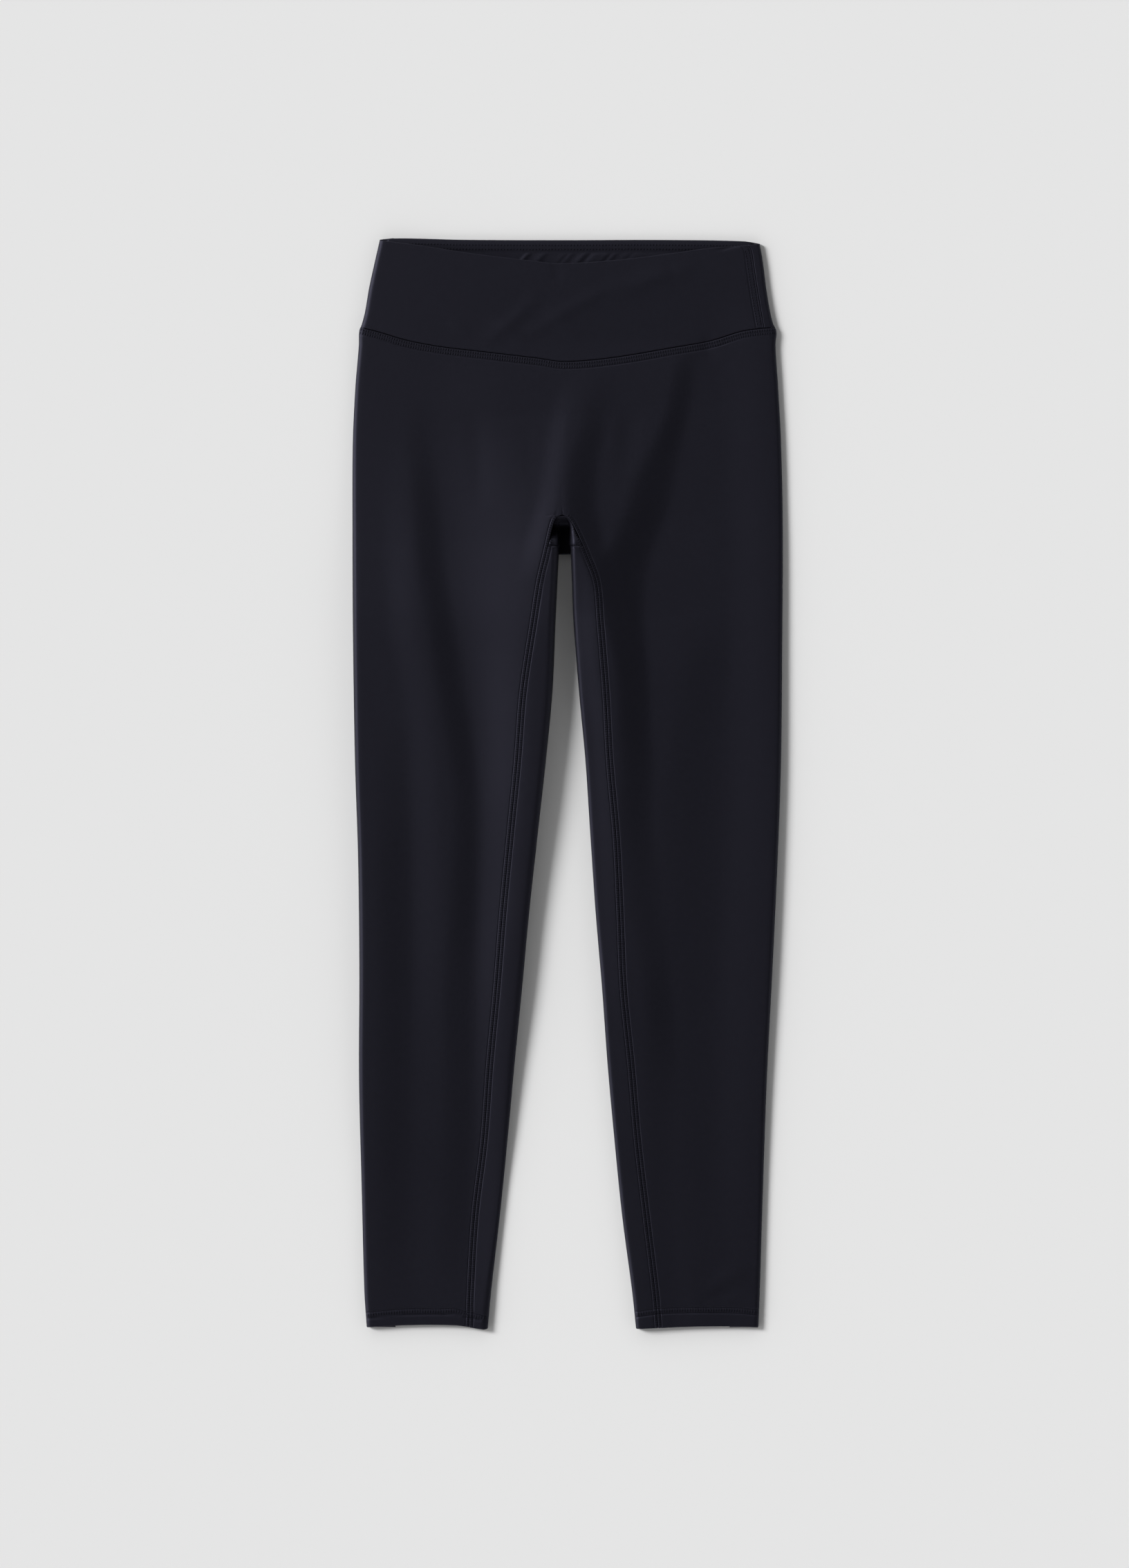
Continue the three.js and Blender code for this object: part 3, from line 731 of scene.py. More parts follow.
    def shown(self, x: Array, y: Array) -> Array:
        """Height of what shows from above: the gusset inside the arch and the upper side elsewhere.

        Args:
            x: X of each point.
            y: Height along the garment of each point.

        Returns:
            The height at each point.
        """
        inside = (y > GUSSET_FOOT) & (y < ARCH_TOP)
        inside &= (x > self.seam[Side.LEFT](y)) & (x < self.seam[Side.RIGHT](y))
        return np.where(inside, self.gusset(x, y), self.top(x, y))

    def on_top(self, x: Array, y: Array) -> Array:
        """Height of what shows from above, with the rounded shoulders of the folds.

        Args:
            x: X of each point.
            y: Height along the garment of each point.

        Returns:
            The height at each point.
        """
        x, y = np.broadcast_arrays(np.asarray(x, float), np.asarray(y, float))
        height = self.shown(x, y)
        for side in Side:
            out = side.toward * (self.edge[side](y) - x)
            height = self.shoulder(height, out, OUTER_SHOULDER, 0.0)
            inward = side.toward * (x - self.fold[side](y))
            near = (y < GUSSET_FOOT) & (inward < FOLD_NEAR) & ((x < CENTRE_FRONT) == (side is Side.LEFT))
            rounded = self.shoulder(height, inward, INNER_SHOULDERS[side], self.lift(x, y))
            height = np.where(near, rounded, height)
        return height

    @staticmethod
    def shoulder(height: Array, inward: Array, reach: float, low: Array | float) -> Array:
        """Lowers a surface where it turns down towards a fold, at a distance in from the fold.

        Args:
            height: The surface's own height at each point.
            inward: How far in from the fold each point is.
            reach: How far in the surface may start to turn down.
            low: Height of the underside there.

        Returns:
            The lowered height at each point.
        """
        middle = mix(low, height, ROLL_MIDDLE)
        reach = np.minimum(reach, (height - middle) ** 2 / (WALL + LAYER_GAP))
        share = np.clip(1 - inward / reach, 0.0, 1.0)
        return middle + (height - middle) * np.sqrt(np.maximum(0.0, 1 - share**2))

    def roll(self, edge_x: float, toward: int, y: float, shoulder: float, wall: float) -> Array:
        """Points of a fold from its upper shoulder round to the underside.

        Args:
            edge_x: Where the fold reaches furthest.
            toward: -1 where the fold faces left and 1 where it faces right.
            y: Height along the garment.
            shoulder: How far in from the edge the upper side may start to turn down.
            wall: Thickness that the fold has to hold inside it.

        Returns:
            An array of points, 3 numbers each.
        """
        low = float(self.lift(edge_x, y))
        middle = mix(low, float(self.top(edge_x, y)), ROLL_MIDDLE)
        upper, lower = float(self.top(edge_x, y)) - middle, middle - low
        upper_reach = min(shoulder, upper**2 / (wall + LAYER_GAP))
        under_reach = min(UNDER_ROLL, lower**2 / (wall + LAYER_GAP))
        angle = np.linspace(math.pi / 2, -math.pi / 2, 2 * FOLD_STEPS + 1)
        over = angle >= 0
        x = edge_x - toward * np.where(over, upper_reach, under_reach) * (1 - np.cos(angle))
        rise = np.where(over, self.top(x, y) - middle, middle - self.lift(x, y))
        return np.stack([x, np.full_like(x, y), middle + rise * np.sin(angle)], axis=1)


def unit(vectors: Array) -> Array:
    """Vectors scaled to a length of 1."""
    return vectors / np.maximum(np.linalg.norm(vectors, axis=-1, keepdims=True), 1e-9)


def outward(points: Array, facing: int) -> Array:
    """Unit normals of a grid of points.

    Args:
        points: Points by row and column.
        facing: 1 where rows run down the upper side and columns to the right, -1 where reversed.

    Returns:
        A normal for each point.
    """
    across = np.gradient(points, axis=1)
    down = np.gradient(points, axis=0)
    return unit(facing * np.cross(across, -down))


def turned(points: Array, radius: float, depth: float, steps: int, facing: int = 1) -> Array:
    """Folds the last row of a grid round to the inside, where it runs back along the cloth.

    Args:
        points: Points by row and column.
        radius: Radius of the folded edge.
        depth: How far the turned-in part runs back.
        steps: Steps round the folded edge.
        facing: As for outward.

    Returns:
        The grid with its new rows at the end.
    """
    normals = outward(points, facing)
    last, normal = points[-1], normals[-1]
    along = unit(last - points[-2])
    rows = [points]
    for angle in np.linspace(0, math.pi, steps + 1)[1:]:
        ring = last + radius * ((math.cos(angle) - 1) * normal + math.sin(angle) * along)
        rows.append(ring[None])
    gone = np.linalg.norm(points - last[None], axis=2).mean(axis=1)
    for r in range(len(points) - 2, -1, -1):
        if gone[r] > depth:
            break
        rows.append((points[r] - 2 * radius * normals[r])[None])
    return np.concatenate(rows)


def spread(start: float, end: float, steps: int) -> Array:
    """Evenly spaced numbers, both ends included."""
    return np.linspace(start, end, steps + 1)


def graded(start: float, end: float, near: Sequence[float], steps: int) -> Array:
    """Numbers from start to end that lie close together near the start.

    Args:
        start: First number.
        end: Last number.
        near: Distances from the start of the close ones, from 0 up.
        steps: How many even ones follow.

    Returns:
        The numbers, both ends included.
    """
    way = 1.0 if end > start else -1.0
    close = start + way * np.asarray(near[:-1])
    return np.concatenate([close, np.linspace(start + way * near[-1], end, steps)])


# Distances of a piece's columns from its seam, and of its rows from the yoke seam and from the hem's edge
SEAM_COLUMNS = (0, 0.22, 0.5, 0.85, 1.3, 1.9, 2.5, 2.8, 3.1, 3.4, 3.8, 4.6, 5.6, 6.3, 6.8, 7.3, 8.2)
SEAM_ROWS = (0, 0.3, 0.7, 1.2, 2.0, 3.0, 4.0, 5.0, 5.8, 6.3, 6.7, 7.1, 7.6, 8.6, 10.2, 12.5)
HEM_ROWS = (30, 27, 24, 21, 19.5, 18.7, *spread(18.0, 9.6, 14), 8.8, 7.6, 6.0, 4.4, 2.8, 1.4, 0.5, 0)
# Heights along the garment of the rows inside the arch, and between its foot and the crotch fold
ARCH_ROWS = (
    *(233.0, 232.7, 232.2, 231.4, 230.4, 229.2, 227.8, 226.2),
    *(224.4, 222.4, 220.2, 217.8, 215.2, 212.6, 210.0, 208.2),
)
CROTCH_ROWS = (203.5, 201.0, CROTCH_FOLD)
# Rows of the yoke beside its top edge and beside its seam, as distances from them, and the even steps between
YOKE_DEPTH = 84.0
YOKE_TOP_ROWS = (0, 0.4, 1.0, 1.8, 3.0, 4.5, 6.5)
YOKE_FOOT_ROWS = (0, 0.3, 0.7, 1.2, 1.9, 2.8, 4.0, 5.5)
YOKE_STEPS = 32
# Points across a strip underneath, points up to the centre-back seam, and how the underside's columns
# draw together towards the inner fold
UNDER_POINTS = 5
CENTRE_POINTS = 4
UNDER_GRADING = 1.5
# A strip narrower than this many times the last seam column has its columns drawn together; the even
# columns that follow them on each strip
STRIP_SPARE = 1.6
STRIP_STEPS = {"leg": 5, "yoke": 3}


def strip_columns(width: float) -> Array:
    """Distances of the columns from the seam of a strip that may be narrow."""
    return np.asarray(SEAM_COLUMNS) * min(1.0, width / (STRIP_SPARE * SEAM_COLUMNS[-1]))


@dataclass(frozen=True)
class Row:
    """A row of a piece: its height along the garment as a function of X."""

    at: Callable[[Array | float], Array]


def level(y: float) -> Row:
    """A row at one height."""
    return Row(lambda x, y=y: np.full(np.shape(x), float(y)))


def joined(*stretches: Array) -> Array:
    """Stretches of a section end to end, without the point that two of them share."""
    return np.concatenate([stretches[0], *(stretch[1:] for stretch in stretches[1:])])


def leg_rows(lay: Lay, steps: int) -> list[Row]:
    """Rows of a leg below the crotch fold, close together at the hem.

    Args:
        lay: How the garment lies.
        steps: Even rows above the hem's.

    Returns:
        The rows, from below the crotch fold to the hem's edge.
    """

    def share_row(share: float) -> Row:
        """A row at a share of the way from the crotch fold to the first row of the hem."""
        return Row(lambda x, s=share: mix(CROTCH_FOLD, lay.hem(x) + HEM_ROWS[0], s))

    rows = [share_row(share) for share in spread(0, 1, steps)[1:]]
    return rows + [Row(lambda x, h=height: lay.hem(x) + h) for height in HEM_ROWS[1:]]


@dataclass
class Patch:
    """A grid of cloth: its points by row and column, in millimetres, with the cloth's face outwards."""

    points: Array

    def flat(self) -> Array:
        """Where each point lies in the flat cut, along its row and down its column.

        Returns:
            Two numbers for each point of the grid.
        """
        across = np.linalg.norm(np.diff(self.points, axis=1), axis=2)
        down = np.linalg.norm(np.diff(self.points, axis=0), axis=2)
        u = np.concatenate([np.zeros((len(self.points), 1)), np.cumsum(across, axis=1)], axis=1)
        v = np.concatenate([np.zeros((1, self.points.shape[1])), np.cumsum(down, axis=0)])
        middle = self.points.shape[1] // 2
        u = u - u[:, middle : middle + 1] + self.points[:, middle : middle + 1, 0]
        return np.stack([u, self.points[0, :, 1][None] - v], axis=2)


def new_object(name: str, data: bpy.types.ID) -> bpy.types.Object:
    """An object at the origin, linked to the scene.

    Args:
        name: Its name.
        data: Its mesh, camera or light.

    Returns:
        The object.
    """
    piece = bpy.data.objects.new(name, data)
    bpy.context.scene.collection.objects.link(piece)
    return piece


def sew_mesh(name: str, patches: Sequence[Patch]) -> bpy.types.Mesh:
    """One mesh of several patches, welded where they meet, with the flat cut as its UV map.

    Args:
        name: Name of the mesh.
        patches: The grids.

    Returns:
        The mesh, in metres.
    """
    bm = bmesh.new()
    cut = bm.verts.layers.float_vector.new("cut")
    for patch in patches:
        rows, columns = patch.points.shape[:2]
        flat = patch.flat()
        made = bmesh.ops.create_grid(bm, x_segments=columns - 1, y_segments=rows - 1, size=1.0)
        for vert in made["verts"]:
            c = round((vert.co.x + 1) / 2 * (columns - 1))
            r = round((1 - vert.co.y) / 2 * (rows - 1))
            vert.co = patch.points[r, c] * MM
            vert[cut] = (flat[r, c, 0] * MM, flat[r, c, 1] * MM, 0.0)
    bmesh.ops.remove_doubles(bm, verts=bm.verts, dist=2e-6)
    bmesh.ops.dissolve_degenerate(bm, dist=1e-7, edges=bm.edges)
    for face in bm.faces:
        face.smooth = True
    mesh = bpy.data.meshes.new(name)
    bm.to_mesh(mesh)
    bm.free()
    flat_of = np.zeros(len(mesh.vertices) * 3, np.float32)
    mesh.attributes["cut"].data.foreach_get("vector", flat_of)
    corner = np.zeros(len(mesh.loops), np.int32)
    mesh.loops.foreach_get("vertex_index", corner)
    layer = mesh.uv_layers.new(name="cut_map")
    layer.data.foreach_set("uv", flat_of.reshape(-1, 3)[corner, :2].ravel())
    mesh.attributes.remove(mesh.attributes["cut"])
    return mesh


def thicken(piece: bpy.types.Object, thickness: float) -> None:
    """Gives a sheet its thickness, inwards from its outer face.

    Args:
        piece: The sheet.
        thickness: How thick, in millimetres.
    """
    solid = piece.modifiers.new("thickness", "SOLIDIFY")
    solid.thickness = thickness * MM
    solid.offset = -1.0
    solid.use_rim = True
    solid.use_even_offset = False


@dataclass(frozen=True)
class Cut:
    """A piece's flat cut: the width and length of its rectangle, and its area."""

    width: float
    length: float
    area: float


@dataclass(frozen=True)
class Finish:
    """A black knit or thread: its colour, how it catches light and the size of its stitches."""

    name: str
    colour: tuple[float, float, float]
    roughness: float
    specular: float
    grain: float
    wale: float = 0.42
    course: float = 0.34
    relief: float = 0.020
    tint: tuple[float, float, float] = (0.70, 0.69, 1.0)


class GrainLayer(NamedTuple):
    """One noise of the yarn grain: how often it repeats in a metre, across and along, and its weight."""

    across: float
    along: float
    weight: float


KNIT = Finish("knit", colour=(0.0012, 0.0012, 0.0020), roughness=0.56, specular=0.335, grain=0.07)
FACING = Finish("facing", colour=(0.0016, 0.0016, 0.0026), roughness=0.60, specular=0.30, grain=0.04)
THREAD = Finish(
    "thread",
    colour=(0.0014, 0.0014, 0.0022),
    roughness=0.58,
    specular=0.17,
    grain=0.03,
    wale=0.25,
    course=0.60,
    relief=0.010,
)
# Yarn streaks along the wales, fine mottle and broad mottle, and what brings them to about -1 to 1
GRAIN_LAYERS = (GrainLayer(900.0, 260.0, 0.60), GrainLayer(420.0, 420.0, 0.30), GrainLayer(60.0, 22.0, 0.10))
GRAIN_CONTRAST = 2.2
GRAIN_DETAIL = 1.5
# How steeply the two legs of a stitch run, and the shares of the loops and of the columns in its relief
STITCH_SLANT = 1.6
LOOP_SHARE = 0.3
COLUMN_SHARE = 0.7


class Nodes:
    """Adds shader nodes to a tree and joins them."""

    def __init__(self, tree: bpy.types.NodeTree) -> None:
        """Keeps the tree.

        Args:
            tree: Where the nodes go.
        """
        self.tree = tree

    def add(self, kind: str, **settings: object) -> bpy.types.Node:
        """A new node with its settings.

        Args:
            kind: The node's type.
            settings: Its properties by name.

        Returns:
            The node.
        """
        node = self.tree.nodes.new(kind)
        for key, value in settings.items():
            setattr(node, key, value)
        return node

    def link(self, source: bpy.types.NodeSocket, target: bpy.types.NodeSocket) -> None:
        """Joins two sockets."""
        self.tree.links.new(source, target)

    def math(self, operation: str, *values: object) -> bpy.types.NodeSocket:
        """A math node on sockets or numbers, as its output.

        Args:
            operation: What it works out.
            values: Its inputs in order.

        Returns:
            The node's output.
        """
        node = self.add("ShaderNodeMath", operation=operation)
        for socket, value in zip(node.inputs, values):
            if isinstance(value, bpy.types.NodeSocket):
                self.link(value, socket)
            else:
                socket.default_value = value
        return node.outputs[0]


def knit_group() -> bpy.types.NodeTree:
    """A group whose output is the height of a plain knit: rows of small V stitches in columns.

    Returns:
        The group.
    """
    tree = bpy.data.node_groups.new("knit_stitches", "ShaderNodeTree")
    face = tree.interface
    face.new_socket("Cut", in_out="INPUT", socket_type="NodeSocketVector")
    face.new_socket("Wale", in_out="INPUT", socket_type="NodeSocketFloat")
    face.new_socket("Course", in_out="INPUT", socket_type="NodeSocketFloat")
    face.new_socket("Height", in_out="OUTPUT", socket_type="NodeSocketFloat")
    nodes = Nodes(tree)
    given, made = nodes.add("NodeGroupInput"), nodes.add("NodeGroupOutput")
    parts = nodes.add("ShaderNodeSeparateXYZ")
    nodes.link(given.outputs["Cut"], parts.inputs[0])
    column = nodes.math("DIVIDE", parts.outputs["X"], given.outputs["Wale"])
    row = nodes.math("DIVIDE", parts.outputs["Y"], given.outputs["Course"])
    leg = nodes.math("PINGPONG", column, 0.5)
    slant = nodes.math("MULTIPLY_ADD", leg, STITCH_SLANT, row)
    loop = nodes.math("SINE", nodes.math("MULTIPLY", slant, 2 * math.pi))
    rib = nodes.math("SINE", nodes.math("MULTIPLY", leg, 2 * math.pi))
    height = nodes.math("MULTIPLY_ADD", loop, LOOP_SHARE, nodes.math("MULTIPLY", rib, COLUMN_SHARE))
    nodes.link(height, made.inputs["Height"])
    return tree


def grain_group() -> bpy.types.NodeTree:
    """A group whose output varies over the cloth from -1 to 1: yarn streaks along the wales, and mottle.

    Returns:
        The group.
    """
    tree = bpy.data.node_groups.new("yarn_grain", "ShaderNodeTree")
    face = tree.interface
    face.new_socket("Cut", in_out="INPUT", socket_type="NodeSocketVector")
    face.new_socket("Tone", in_out="OUTPUT", socket_type="NodeSocketFloat")
    nodes = Nodes(tree)
    given, made = nodes.add("NodeGroupInput"), nodes.add("NodeGroupOutput")
    tones = []
    for layer in GRAIN_LAYERS:
        mapping = nodes.add("ShaderNodeMapping")
        mapping.inputs["Scale"].default_value = (layer.across, layer.along, 1.0)
        nodes.link(given.outputs["Cut"], mapping.inputs["Vector"])
        noise = nodes.add("ShaderNodeTexNoise", noise_dimensions="2D")
        noise.inputs["Scale"].default_value = 1.0
        noise.inputs["Detail"].default_value = GRAIN_DETAIL
        nodes.link(mapping.outputs[0], noise.inputs["Vector"])
        centred = nodes.math("MULTIPLY_ADD", noise.outputs[0], 2.0, -1.0)
        tones.append(nodes.math("MULTIPLY", centred, layer.weight * GRAIN_CONTRAST))
    total = nodes.math("ADD", nodes.math("ADD", tones[0], tones[1]), tones[2])
    nodes.link(total, made.inputs["Tone"])
    return tree


def cloth_material(
    finish: Finish, stitches: bpy.types.NodeTree, grain: bpy.types.NodeTree
) -> bpy.types.Material:
    """A knit material.

    Args:
        finish: Its colour and surface.
        stitches: The group from knit_group.
        grain: The group from grain_group.

    Returns:
        The material, which reads the flat cut from the UV map.
    """
    material = bpy.data.materials.new(finish.name)
    material.use_nodes = True
    nodes = Nodes(material.node_tree)
    shader = material.node_tree.nodes["Principled BSDF"]
    cut = nodes.add("ShaderNodeUVMap", uv_map="cut_map").outputs[0]
    tone = nodes.add("ShaderNodeGroup", node_tree=grain)
    nodes.link(cut, tone.inputs["Cut"])
    knit = nodes.add("ShaderNodeGroup", node_tree=stitches)
    knit.inputs["Wale"].default_value = finish.wale * MM
    knit.inputs["Course"].default_value = finish.course * MM
    nodes.link(cut, knit.inputs["Cut"])
    shade = nodes.add("ShaderNodeVectorMath", operation="SCALE")
    shade.inputs[0].default_value = finish.colour
    nodes.link(nodes.math("MULTIPLY_ADD", tone.outputs[0], finish.grain, 1.0), shade.inputs["Scale"])
    nodes.link(shade.outputs[0], shader.inputs["Base Color"])
    nap = nodes.math("MULTIPLY_ADD", tone.outputs[0], finish.roughness * finish.grain, finish.roughness)
    nodes.link(nap, shader.inputs["Roughness"])
    shader.inputs["Specular IOR Level"].default_value = finish.specular
    shader.inputs["Specular Tint"].default_value = (*finish.tint, 1.0)
    bump = nodes.add("ShaderNodeBump")
    bump.inputs["Distance"].default_value = finish.relief * MM
    nodes.link(knit.outputs[0], bump.inputs["Height"])
    nodes.link(bump.outputs[0], shader.inputs["Normal"])
    return material


@dataclass
class Panel:
    """A cut piece of cloth. Each kind says how its patches lie."""

    lay: Lay

    node: ClassVar[str]
    cut: ClassVar[Cut]
    slot: ClassVar[str] = "knit"
    rests_on: ClassVar[tuple[str, ...]] = ()
    carries: ClassVar[tuple[str, ...]] = ()

    def patches(self) -> list[Patch]:
        """The grids that the piece is made of."""
        raise NotImplementedError

    def build(self, material: bpy.types.Material) -> bpy.types.Object:
        """Makes the piece, in place of its node of the frame.

        Args:
            material: Its finish.

        Returns:
            The piece.
        """
        name = f"{self.node}_cloth"
        piece = new_object(name, sew_mesh(name, self.patches()))
        thicken(piece, CLOTH)
        piece.data.materials.append(material)
        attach(piece, "root")
        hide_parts(self.node)
        area = sum(face.area for face in piece.data.polygons)
        LOG.info("%s: %d faces, %.4f square metres", name, len(piece.data.polygons), area)
        return piece

    def declare(self, pieces: dict[str, bpy.types.Object]) -> None:
        """Does nothing: it states neither the piece's flat cut, nor what it lies on, nor the threads that it
        carries.

        Args:
            pieces: Every piece of the garment by its name. Not used.
        """


@dataclass
class Front(Panel):
    """The front: one piece for both legs, round the outer folds and a little way underneath."""

    body_rows: int = 34
    leg_steps: int = 150
    columns: int = 46

    node = "front"
    cut = Cut(0.43, 0.90, 0.290)
    rests_on = ("back_left", "back_right")
    carries = (
        "inseam_left_threads",
        "inseam_right_threads",
        "yoke_seam_threads",
        "hem_left_threads",
        "hem_right_threads",
    )

    def section(self, side: Side, row: Row) -> Array:
        """Half of the piece at one row, in order from the middle to the strip underneath.

        Args:
            side: Which half.
            row: The row.

        Returns:
            Its points, 3 numbers each.
        """
        lay, toward = self.lay, side.toward
        edge = lay.edge[side]
        side_y = float(row.at(float(edge(float(row.at(toward * NEAR_OUTER_FOLD))))))
        fold = lay.roll(float(edge(side_y)), toward, side_y, OUTER_SHOULDER, WALL)

        def inside(y: float) -> float:
            """X of the edge that faces the middle of the garment, at one height."""
            if y >= ARCH_TOP:
                return CENTRE_FRONT
            return float(lay.seam[side](y)) + toward * SEAM_GAP

        start = inside(float(row.at(inside(side_y))))
        x = graded(start, fold[0, 0], SEAM_COLUMNS, self.columns)
        y = row.at(x)
        upper = np.stack([x, y, lay.top(x, y)], axis=1)
        fold[:, 1] = row.at(fold[:, 0])
        seam = float(edge(side_y)) - toward * (SIDE_WRAP - SEAM_GAP)
        under = np.linspace(fold[-1], (seam, side_y, 0.0), UNDER_POINTS)
        points = joined(upper, fold, under)
        return points[::-1] if side is Side.LEFT else points

    def patches(self) -> list[Patch]:
        """Two halves, which share the middle line above the arch.

        Returns:
            The grids of the piece, its outer face outwards.
        """
        lay = self.lay
        near = [distance / (YOKE_SEAM_LOW - ARCH_TOP) for distance in SEAM_ROWS]
        shares = graded(0.0, 1.0, near, self.body_rows)
        body = [Row(lambda x, s=share: mix(lay.yoke_seam(x) - SEAM_GAP, ARCH_TOP, s)) for share in shares]
        arch = [level(y) for y in (*ARCH_ROWS, GUSSET_FOOT, *CROTCH_ROWS)]
        rows = [*body, *arch, *leg_rows(lay, self.leg_steps)]
        halves = []
        for side in Side:
            points = np.stack([self.section(side, row) for row in rows])
            halves.append(Patch(turned(points, EDGE_RADIUS, HEM_DEPTH, EDGE_STEPS)))
        return halves


@dataclass
class Back(Panel):
    """A back half: flat underneath, and round the inner fold of its leg onto the front."""

    side: Side = Side.LEFT
    hip_rows: int = 30
    leg_steps: int = 150
    columns: int = 30

    cut = Cut(0.22, 0.89, 0.133)

    @property
    def node(self) -> str:
        """The node of the frame that this half stands for."""
        return f"back_{self.side.word}"

    def inner_roll(self, y: float) -> Array:
        """The leg's inner fold at one height, from its upper shoulder down.

        Args:
            y: The height along the garment.

        Returns:
            Its points, 3 numbers each.
        """
        side = self.side
        y = min(y, GUSSET_FOOT - SEAM_GAP)
        shoulder = INNER_SHOULDERS[side]
        return self.lay.roll(float(self.lay.fold[side](y)), -side.toward, y, shoulder, WALL)

    def under_row(self, row: Row) -> Array:
        """The flat underside at one row, from the side seam to the foot of the inner fold.

        Args:
            row: The row.

        Returns:
            Its points, 3 numbers each.
        """
        lay, toward = self.lay, self.side.toward
        edge = lay.edge[self.side]
        side_y = float(row.at(float(edge(float(row.at(toward * NEAR_OUTER_FOLD))))))
        start = float(edge(side_y)) - toward * (SIDE_WRAP + SEAM_GAP)
        shares = 1 - (1 - spread(0, 1, self.columns)) ** UNDER_GRADING
        x = mix(start, self.inner_roll(side_y)[-1, 0], shares)
        y = row.at(x)
        return np.stack([x, y, lay.lift(x, y)], axis=1)

    def wrap_row(self, row: Row) -> Array:
        """The inner fold and the strip that shows on the front, up to the inseam.

        Args:
            row: The row.

        Returns:
            Its points, 3 numbers each.
        """
        lay, side, toward = self.lay, self.side, self.side.toward
        fold_y = float(row.at(float(lay.fold[side](float(row.at(toward * NEAR_INNER_FOLD))))))
        fold = self.inner_roll(fold_y)[::-1]
        seam_y = float(row.at(float(lay.seam[side](fold_y))))
        seam = float(lay.seam[side](seam_y)) - toward * SEAM_GAP
        near = strip_columns(abs(seam - fold[-1, 0]))
        x = graded(seam, fold[-1, 0], near, STRIP_STEPS["leg"])[::-1]
        y = row.at(x)
        strip = np.stack([x, y, lay.top(x, y)], axis=1)
        fold[:, 1] = row.at(fold[:, 0])
        return joined(fold, strip)

    def patches(self) -> list[Patch]:
        """The underside, the stretch up to the centre-back seam, and the wrap of the leg.

        Returns:
            The grids of the piece, its outer face outwards.
        """
        lay, toward = self.lay, self.side.toward
        hips = [level(y) for y in spread(BACK_SEAM - SEAM_GAP, GUSSET_FOOT + SEAM_GAP, self.hip_rows)]
        lower = [level(y) for y in (GUSSET_FOOT - SEAM_GAP, *CROTCH_ROWS)]
        lower += leg_rows(lay, self.leg_steps)
        under = np.stack([self.under_row(row) for row in [*hips, *lower]])
        wrap = np.stack([self.wrap_row(row) for row in lower])
        wrap[:, 0] = under[len(hips) :, -1]
        centre = []
        for r, row in enumerate(hips):
            end = np.array([CENTRE_BACK + toward * SEAM_GAP, float(row.at(0.0)), 0.0])
            centre.append(np.linspace(under[r, -1], end, CENTRE_POINTS))
        legs = np.concatenate([under[len(hips) :], wrap[:, 1:]], axis=1)
        legs = turned(legs, EDGE_RADIUS, HEM_DEPTH, EDGE_STEPS, facing=toward)
        grids = [under[: len(hips) + 1], np.stack(centre), legs]
        if self.side is Side.LEFT:
            grids = [grid[::-1] for grid in grids]
        return [Patch(grid) for grid in grids]


@dataclass
class Gusset(Panel):
    """The gusset: hangs from the arch, lies down between the legs and folds under at the crotch."""

    columns: int = 9

    node = "gusset"
    cut = Cut(0.030, 0.052, 0.00108)
    carries = ("gusset_left_threads", "gusset_right_threads")

    def patches(self) -> list[Patch]:
        """Its upper side, and the fold at the crotch with the strip underneath.

        Returns:
            The grids of the piece, its outer face outwards.
        """
        lay, steps = self.lay, self.columns
        rows = []
        arch = [y for y in ARCH_ROWS if y < GUSSET_HEAD]
        for y in (GUSSET_HEAD, *arch, GUSSET_FOOT + SEAM_GAP):
            seams = [float(lay.seam[side](y)) - side.toward * SEAM_GAP for side in Side]
            folds = [float(lay.fold[side](y)) for side in Side]
            stops = (seams[0], *folds, seams[1])
            x = joined(*(spread(start, end, steps) for start, end in zip(stops, stops[1:])))
            rows.append(np.stack([x, np.full_like(x, y), lay.gusset(x, np.full_like(x, y))], axis=1))
        upper = np.stack(rows)
        radius = CROTCH_LAYERS / 2
        fold_y = CROTCH_FOLD + radius

        def across(y: float, z: float) -> Array:
            """A row between the two inner folds, at one place and height."""
            ends = [float(lay.fold[side](y)) - side.toward * SEAM_GAP for side in Side]
            x = spread(ends[0], ends[1], steps)
            return np.stack([x, np.full_like(x, y), np.full_like(x, z)], axis=1)

        angles = np.linspace(math.pi / 2, -math.pi / 2, 2 * FOLD_STEPS + 1)
        turn = [across(fold_y - radius * math.cos(a), radius + radius * math.sin(a)) for a in angles]
        lower = np.stack([upper[-1, steps : 2 * steps + 1], *turn, across(GUSSET_FOOT - SEAM_GAP, 0.0)])
        return [Patch(upper), Patch(lower)]


def yoke_shares() -> Array:
    """Shares of the yoke's depth from its top edge to its seam, close together at both.

    Returns:
        The shares, from 0 to 1.
    """
    top = np.array(YOKE_TOP_ROWS) / YOKE_DEPTH
    low = 1 - np.array(YOKE_FOOT_ROWS)[::-1] / YOKE_DEPTH
    return np.concatenate([top, spread(top[-1], low[0], YOKE_STEPS)[1:-1], low])


